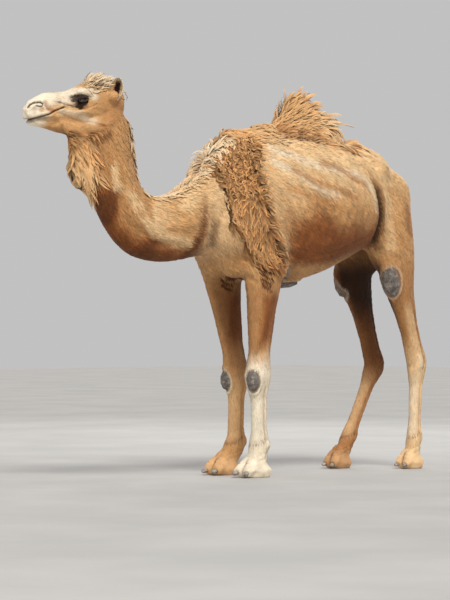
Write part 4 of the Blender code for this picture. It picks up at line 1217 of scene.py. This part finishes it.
def put_in_order(parts, place_of):
    """Sorts a bmesh's vertices or faces by their places."""
    for i, part in enumerate(sorted(parts, key=lambda part: tuple(round(value, 5) for value in place_of(part)))):
        part.index = i
    parts.sort()


def make_ear(name, side):
    ear = Ear(side)
    steps, columns = 14, 16
    mesh = bmesh.new()
    bmesh.ops.create_grid(mesh, x_segments=columns, y_segments=steps, size=1)
    for vertex in mesh.verts:
        vertex.co = ear.point((vertex.co.y + 1) / 2, vertex.co.x)
    bmesh.ops.remove_doubles(mesh, verts=mesh.verts, dist=0.0004)
    bmesh.ops.recalc_face_normals(mesh, faces=mesh.faces)
    bmesh.ops.solidify(mesh, geom=mesh.faces, thickness=0.003)
    # solidify leaves the mesh in a different order each run, and the fur's roots are drawn by that order
    put_in_order(mesh.verts, lambda vertex: vertex.co)
    put_in_order(mesh.faces, lambda face: face.calc_center_median())
    shell = new_piece(f"ear_shell_{name}", mesh)
    shell.modifiers.new("round", "SUBSURF").levels = 1
    apply_modifiers(shell)
    places, _, _ = numbers(shell.data)
    paint_points(shell.data, "coat", ear.colour(places))
    shell.data.shade_smooth()
    finish_with(shell, coat_finish(f"ear skin {name}", 0.08))
    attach(shell, "root")
    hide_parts(f"ear_{name}")
    coat = Coat(shell, ear.colour, 1.0)
    fur = coat.grow(f"ear_fur_{name}", coat.roots(0.0036, lambda points: np.ones(len(points))), ear_style(ear))
    finish_with(fur, coat_finish(f"ear fur {name}", 0.08))


def eye_turn(side):
    """The eye's own axes at its middle: X out of the head, Y along the lids towards the back, Z up."""
    tilt = Matrix.Rotation(math.radians(-12 * side), 4, "Z") @ Matrix.Rotation(math.radians(10), 4, "X")
    return (head_turn() @ Matrix.Translation((side * EYE[0], -EYE[1], EYE[2])) @ tilt
            @ Matrix.Diagonal((side, 1, 1, 1)))


def lid_shell(side, low, high):
    """A piece of a ball just over the eye, between two heights of its turn about the line of its corners."""
    mesh = bmesh.new()
    along_corners = Matrix.Rotation(math.radians(90), 4, "X")
    bmesh.ops.create_uvsphere(mesh, u_segments=72, v_segments=28, radius=LID, matrix=along_corners)
    away = []
    for face in mesh.faces:
        middle_of = face.calc_center_median()
        height = math.degrees(math.atan2(middle_of.z, middle_of.x))
        if not low < height < high:
            away.append(face)
    bmesh.ops.delete(mesh, geom=away, context="FACES")
    bmesh.ops.recalc_face_normals(mesh, faces=mesh.faces)
    bmesh.ops.solidify(mesh, geom=mesh.faces, thickness=-0.0024)
    bmesh.ops.transform(mesh, matrix=eye_turn(side), verts=mesh.verts)
    bmesh.ops.recalc_face_normals(mesh, faces=mesh.faces)
    return mesh


def lashes(name, side, height, count, length, droop):
    """Curved tapering lashes along one lid's edge."""
    mesh = bmesh.new()
    turn = eye_turn(side)
    for i in range(count):
        corner = math.radians(-62 + 124 * (i + 0.5 + CHANCE.uniform(-0.3, 0.3)) / count)
        open_at = math.radians(height)
        out = Vector((math.cos(corner) * math.cos(open_at), math.sin(corner), math.cos(corner) * math.sin(open_at)))
        reach = length * CHANCE.uniform(0.75, 1.1)
        start = out * LASH_ROOT
        lean = Vector((0.9, math.sin(corner) * 0.5 - 0.25, droop))
        points = [start + lean * reach * share + Vector((0, back, -droop * reach * fall))
                  for share, back, fall in ((0, 0, 0), (0.35, 0, 0), (0.7, 0, 0.2), (1, -0.002, 0.65))]
        before = None
        for k, point in enumerate(points):
            size = 0.001 * (1 - k / 3.3)
            ring = [mesh.verts.new(point + size * Vector((0, math.cos(a), math.sin(a)))) for a in (0, 2.1, 4.2)]
            if before:
                for j in range(3):
                    mesh.faces.new((before[j], before[(j + 1) % 3], ring[(j + 1) % 3], ring[j]))
            else:
                mesh.faces.new(ring[::-1])
            before = ring
        mesh.faces.new(before)
    bmesh.ops.transform(mesh, matrix=turn, verts=mesh.verts)
    bmesh.ops.recalc_face_normals(mesh, faces=mesh.faces)
    piece = new_piece(name, mesh)
    piece.data.shade_smooth()
    return piece


def make_eye(name, side, finishes):
    """A wet dark eyeball in the plain one's place, with its lids and lashes."""
    ball, lid, lash = finishes
    mesh = bmesh.new()
    lying = eye_turn(side) @ Matrix.Rotation(math.radians(90), 4, "Y")
    bmesh.ops.create_uvsphere(mesh, u_segments=40, v_segments=24, radius=EYEBALL, matrix=lying)
    bmesh.ops.recalc_face_normals(mesh, faces=mesh.faces)
    eye = new_piece(f"eyeball_{name}", mesh)
    eye.data.shade_smooth()
    finish_with(eye, ball)
    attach(eye, "root")
    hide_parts(f"eye_{name}")
    for part, low, high in (("upper", 20, 100), ("lower", -100, -34)):
        shell = new_piece(f"lid_{part}_{name}", lid_shell(side, low, high))
        paint_points(shell.data, "coat", np.tile(BLACK_BROWN * 1.3, (len(shell.data.vertices), 1)))
        shell.data.shade_smooth()
        finish_with(shell, lid)
        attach(shell, "root")
    for part, height, count, length, droop in (("upper", 22, 54, 0.034, -0.35), ("lower", -34, 34, 0.016, -0.9)):
        hairs = lashes(f"lashes_{part}_{name}", side, height, count, length, droop)
        finish_with(hairs, lash)
        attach(hairs, "root")


def make_floor():
    mesh = bmesh.new()
    low = CAD_BOX[0].z - 0.0005
    bmesh.ops.create_grid(mesh, x_segments=1, y_segments=1, size=30, matrix=Matrix.Translation((0, 0, low)))
    floor = new_piece("floor", mesh)
    finish_with(floor, floor_finish())


def aim(thing, place, target):
    thing.location = place
    thing.rotation_mode = "QUATERNION"
    thing.rotation_quaternion = (Vector(target) - Vector(place)).to_track_quat("-Z", "Y")


def make_light(kind, name, place, energy, **settings):
    data = bpy.data.lights.new(name, kind)
    data.energy = energy
    for setting, value in settings.items():
        setattr(data, setting, value)
    light = bpy.data.objects.new(name, data)
    bpy.context.scene.collection.objects.link(light)
    aim(light, place, at(0, 0, 1.2))


def make_studio():
    bpy.context.scene.view_settings.view_transform = "Standard"
    world = bpy.data.worlds.new("studio")
    bpy.context.scene.world = world
    world.use_nodes = True
    world.node_tree.nodes["Background"].inputs["Color"].default_value = (0.98, 0.97, 0.97, 1)
    world.node_tree.nodes["Background"].inputs["Strength"].default_value = 0.55
    make_light("SUN", "key", at(4.5, 2.2, 7.5), 2.3, angle=math.radians(22), color=(1.0, 0.98, 0.95))
    make_light("AREA", "front", at(3.5, 7.0, 2.2), 60, size=4.0, color=(1.0, 0.98, 0.95))
    make_light("AREA", "rim", at(-4.0, -5.0, 5.0), 140, size=4.0, color=(1.0, 1.0, 1.0))


def make_camera():
    data = bpy.data.cameras.new("camera")
    data.lens = 141.96
    data.sensor_width = 36
    data.clip_end = 60
    camera = bpy.data.objects.new("camera", data)
    bpy.context.scene.collection.objects.link(camera)
    bpy.context.scene.camera = camera
    target = at(0, 0.105, 0.97)
    turn = math.radians(47)
    eye = target + 13 * Vector((math.sin(turn), -math.cos(turn), 0))
    eye.z = 0.8
    aim(camera, eye, target)


make_camera()
make_studio()
make_floor()
skin = make_skin()
finish_with(skin, coat_finish("skin", 0.1))
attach(skin, "root")
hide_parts(*SKIN_NODES)
grow_coat(skin)
eye_finishes = (eye_finish(), coat_finish("lid", 0.1), lash_finish())
for name, side in SIDES.items():
    make_ear(name, side)
    make_eye(name, side, eye_finishes)
callus = callus_finish()
horn = horn_finish()
for name in CALLUSES:
    finish_with(NODES[name], callus)
for name in NAILS:
    finish_with(NODES[name], horn)
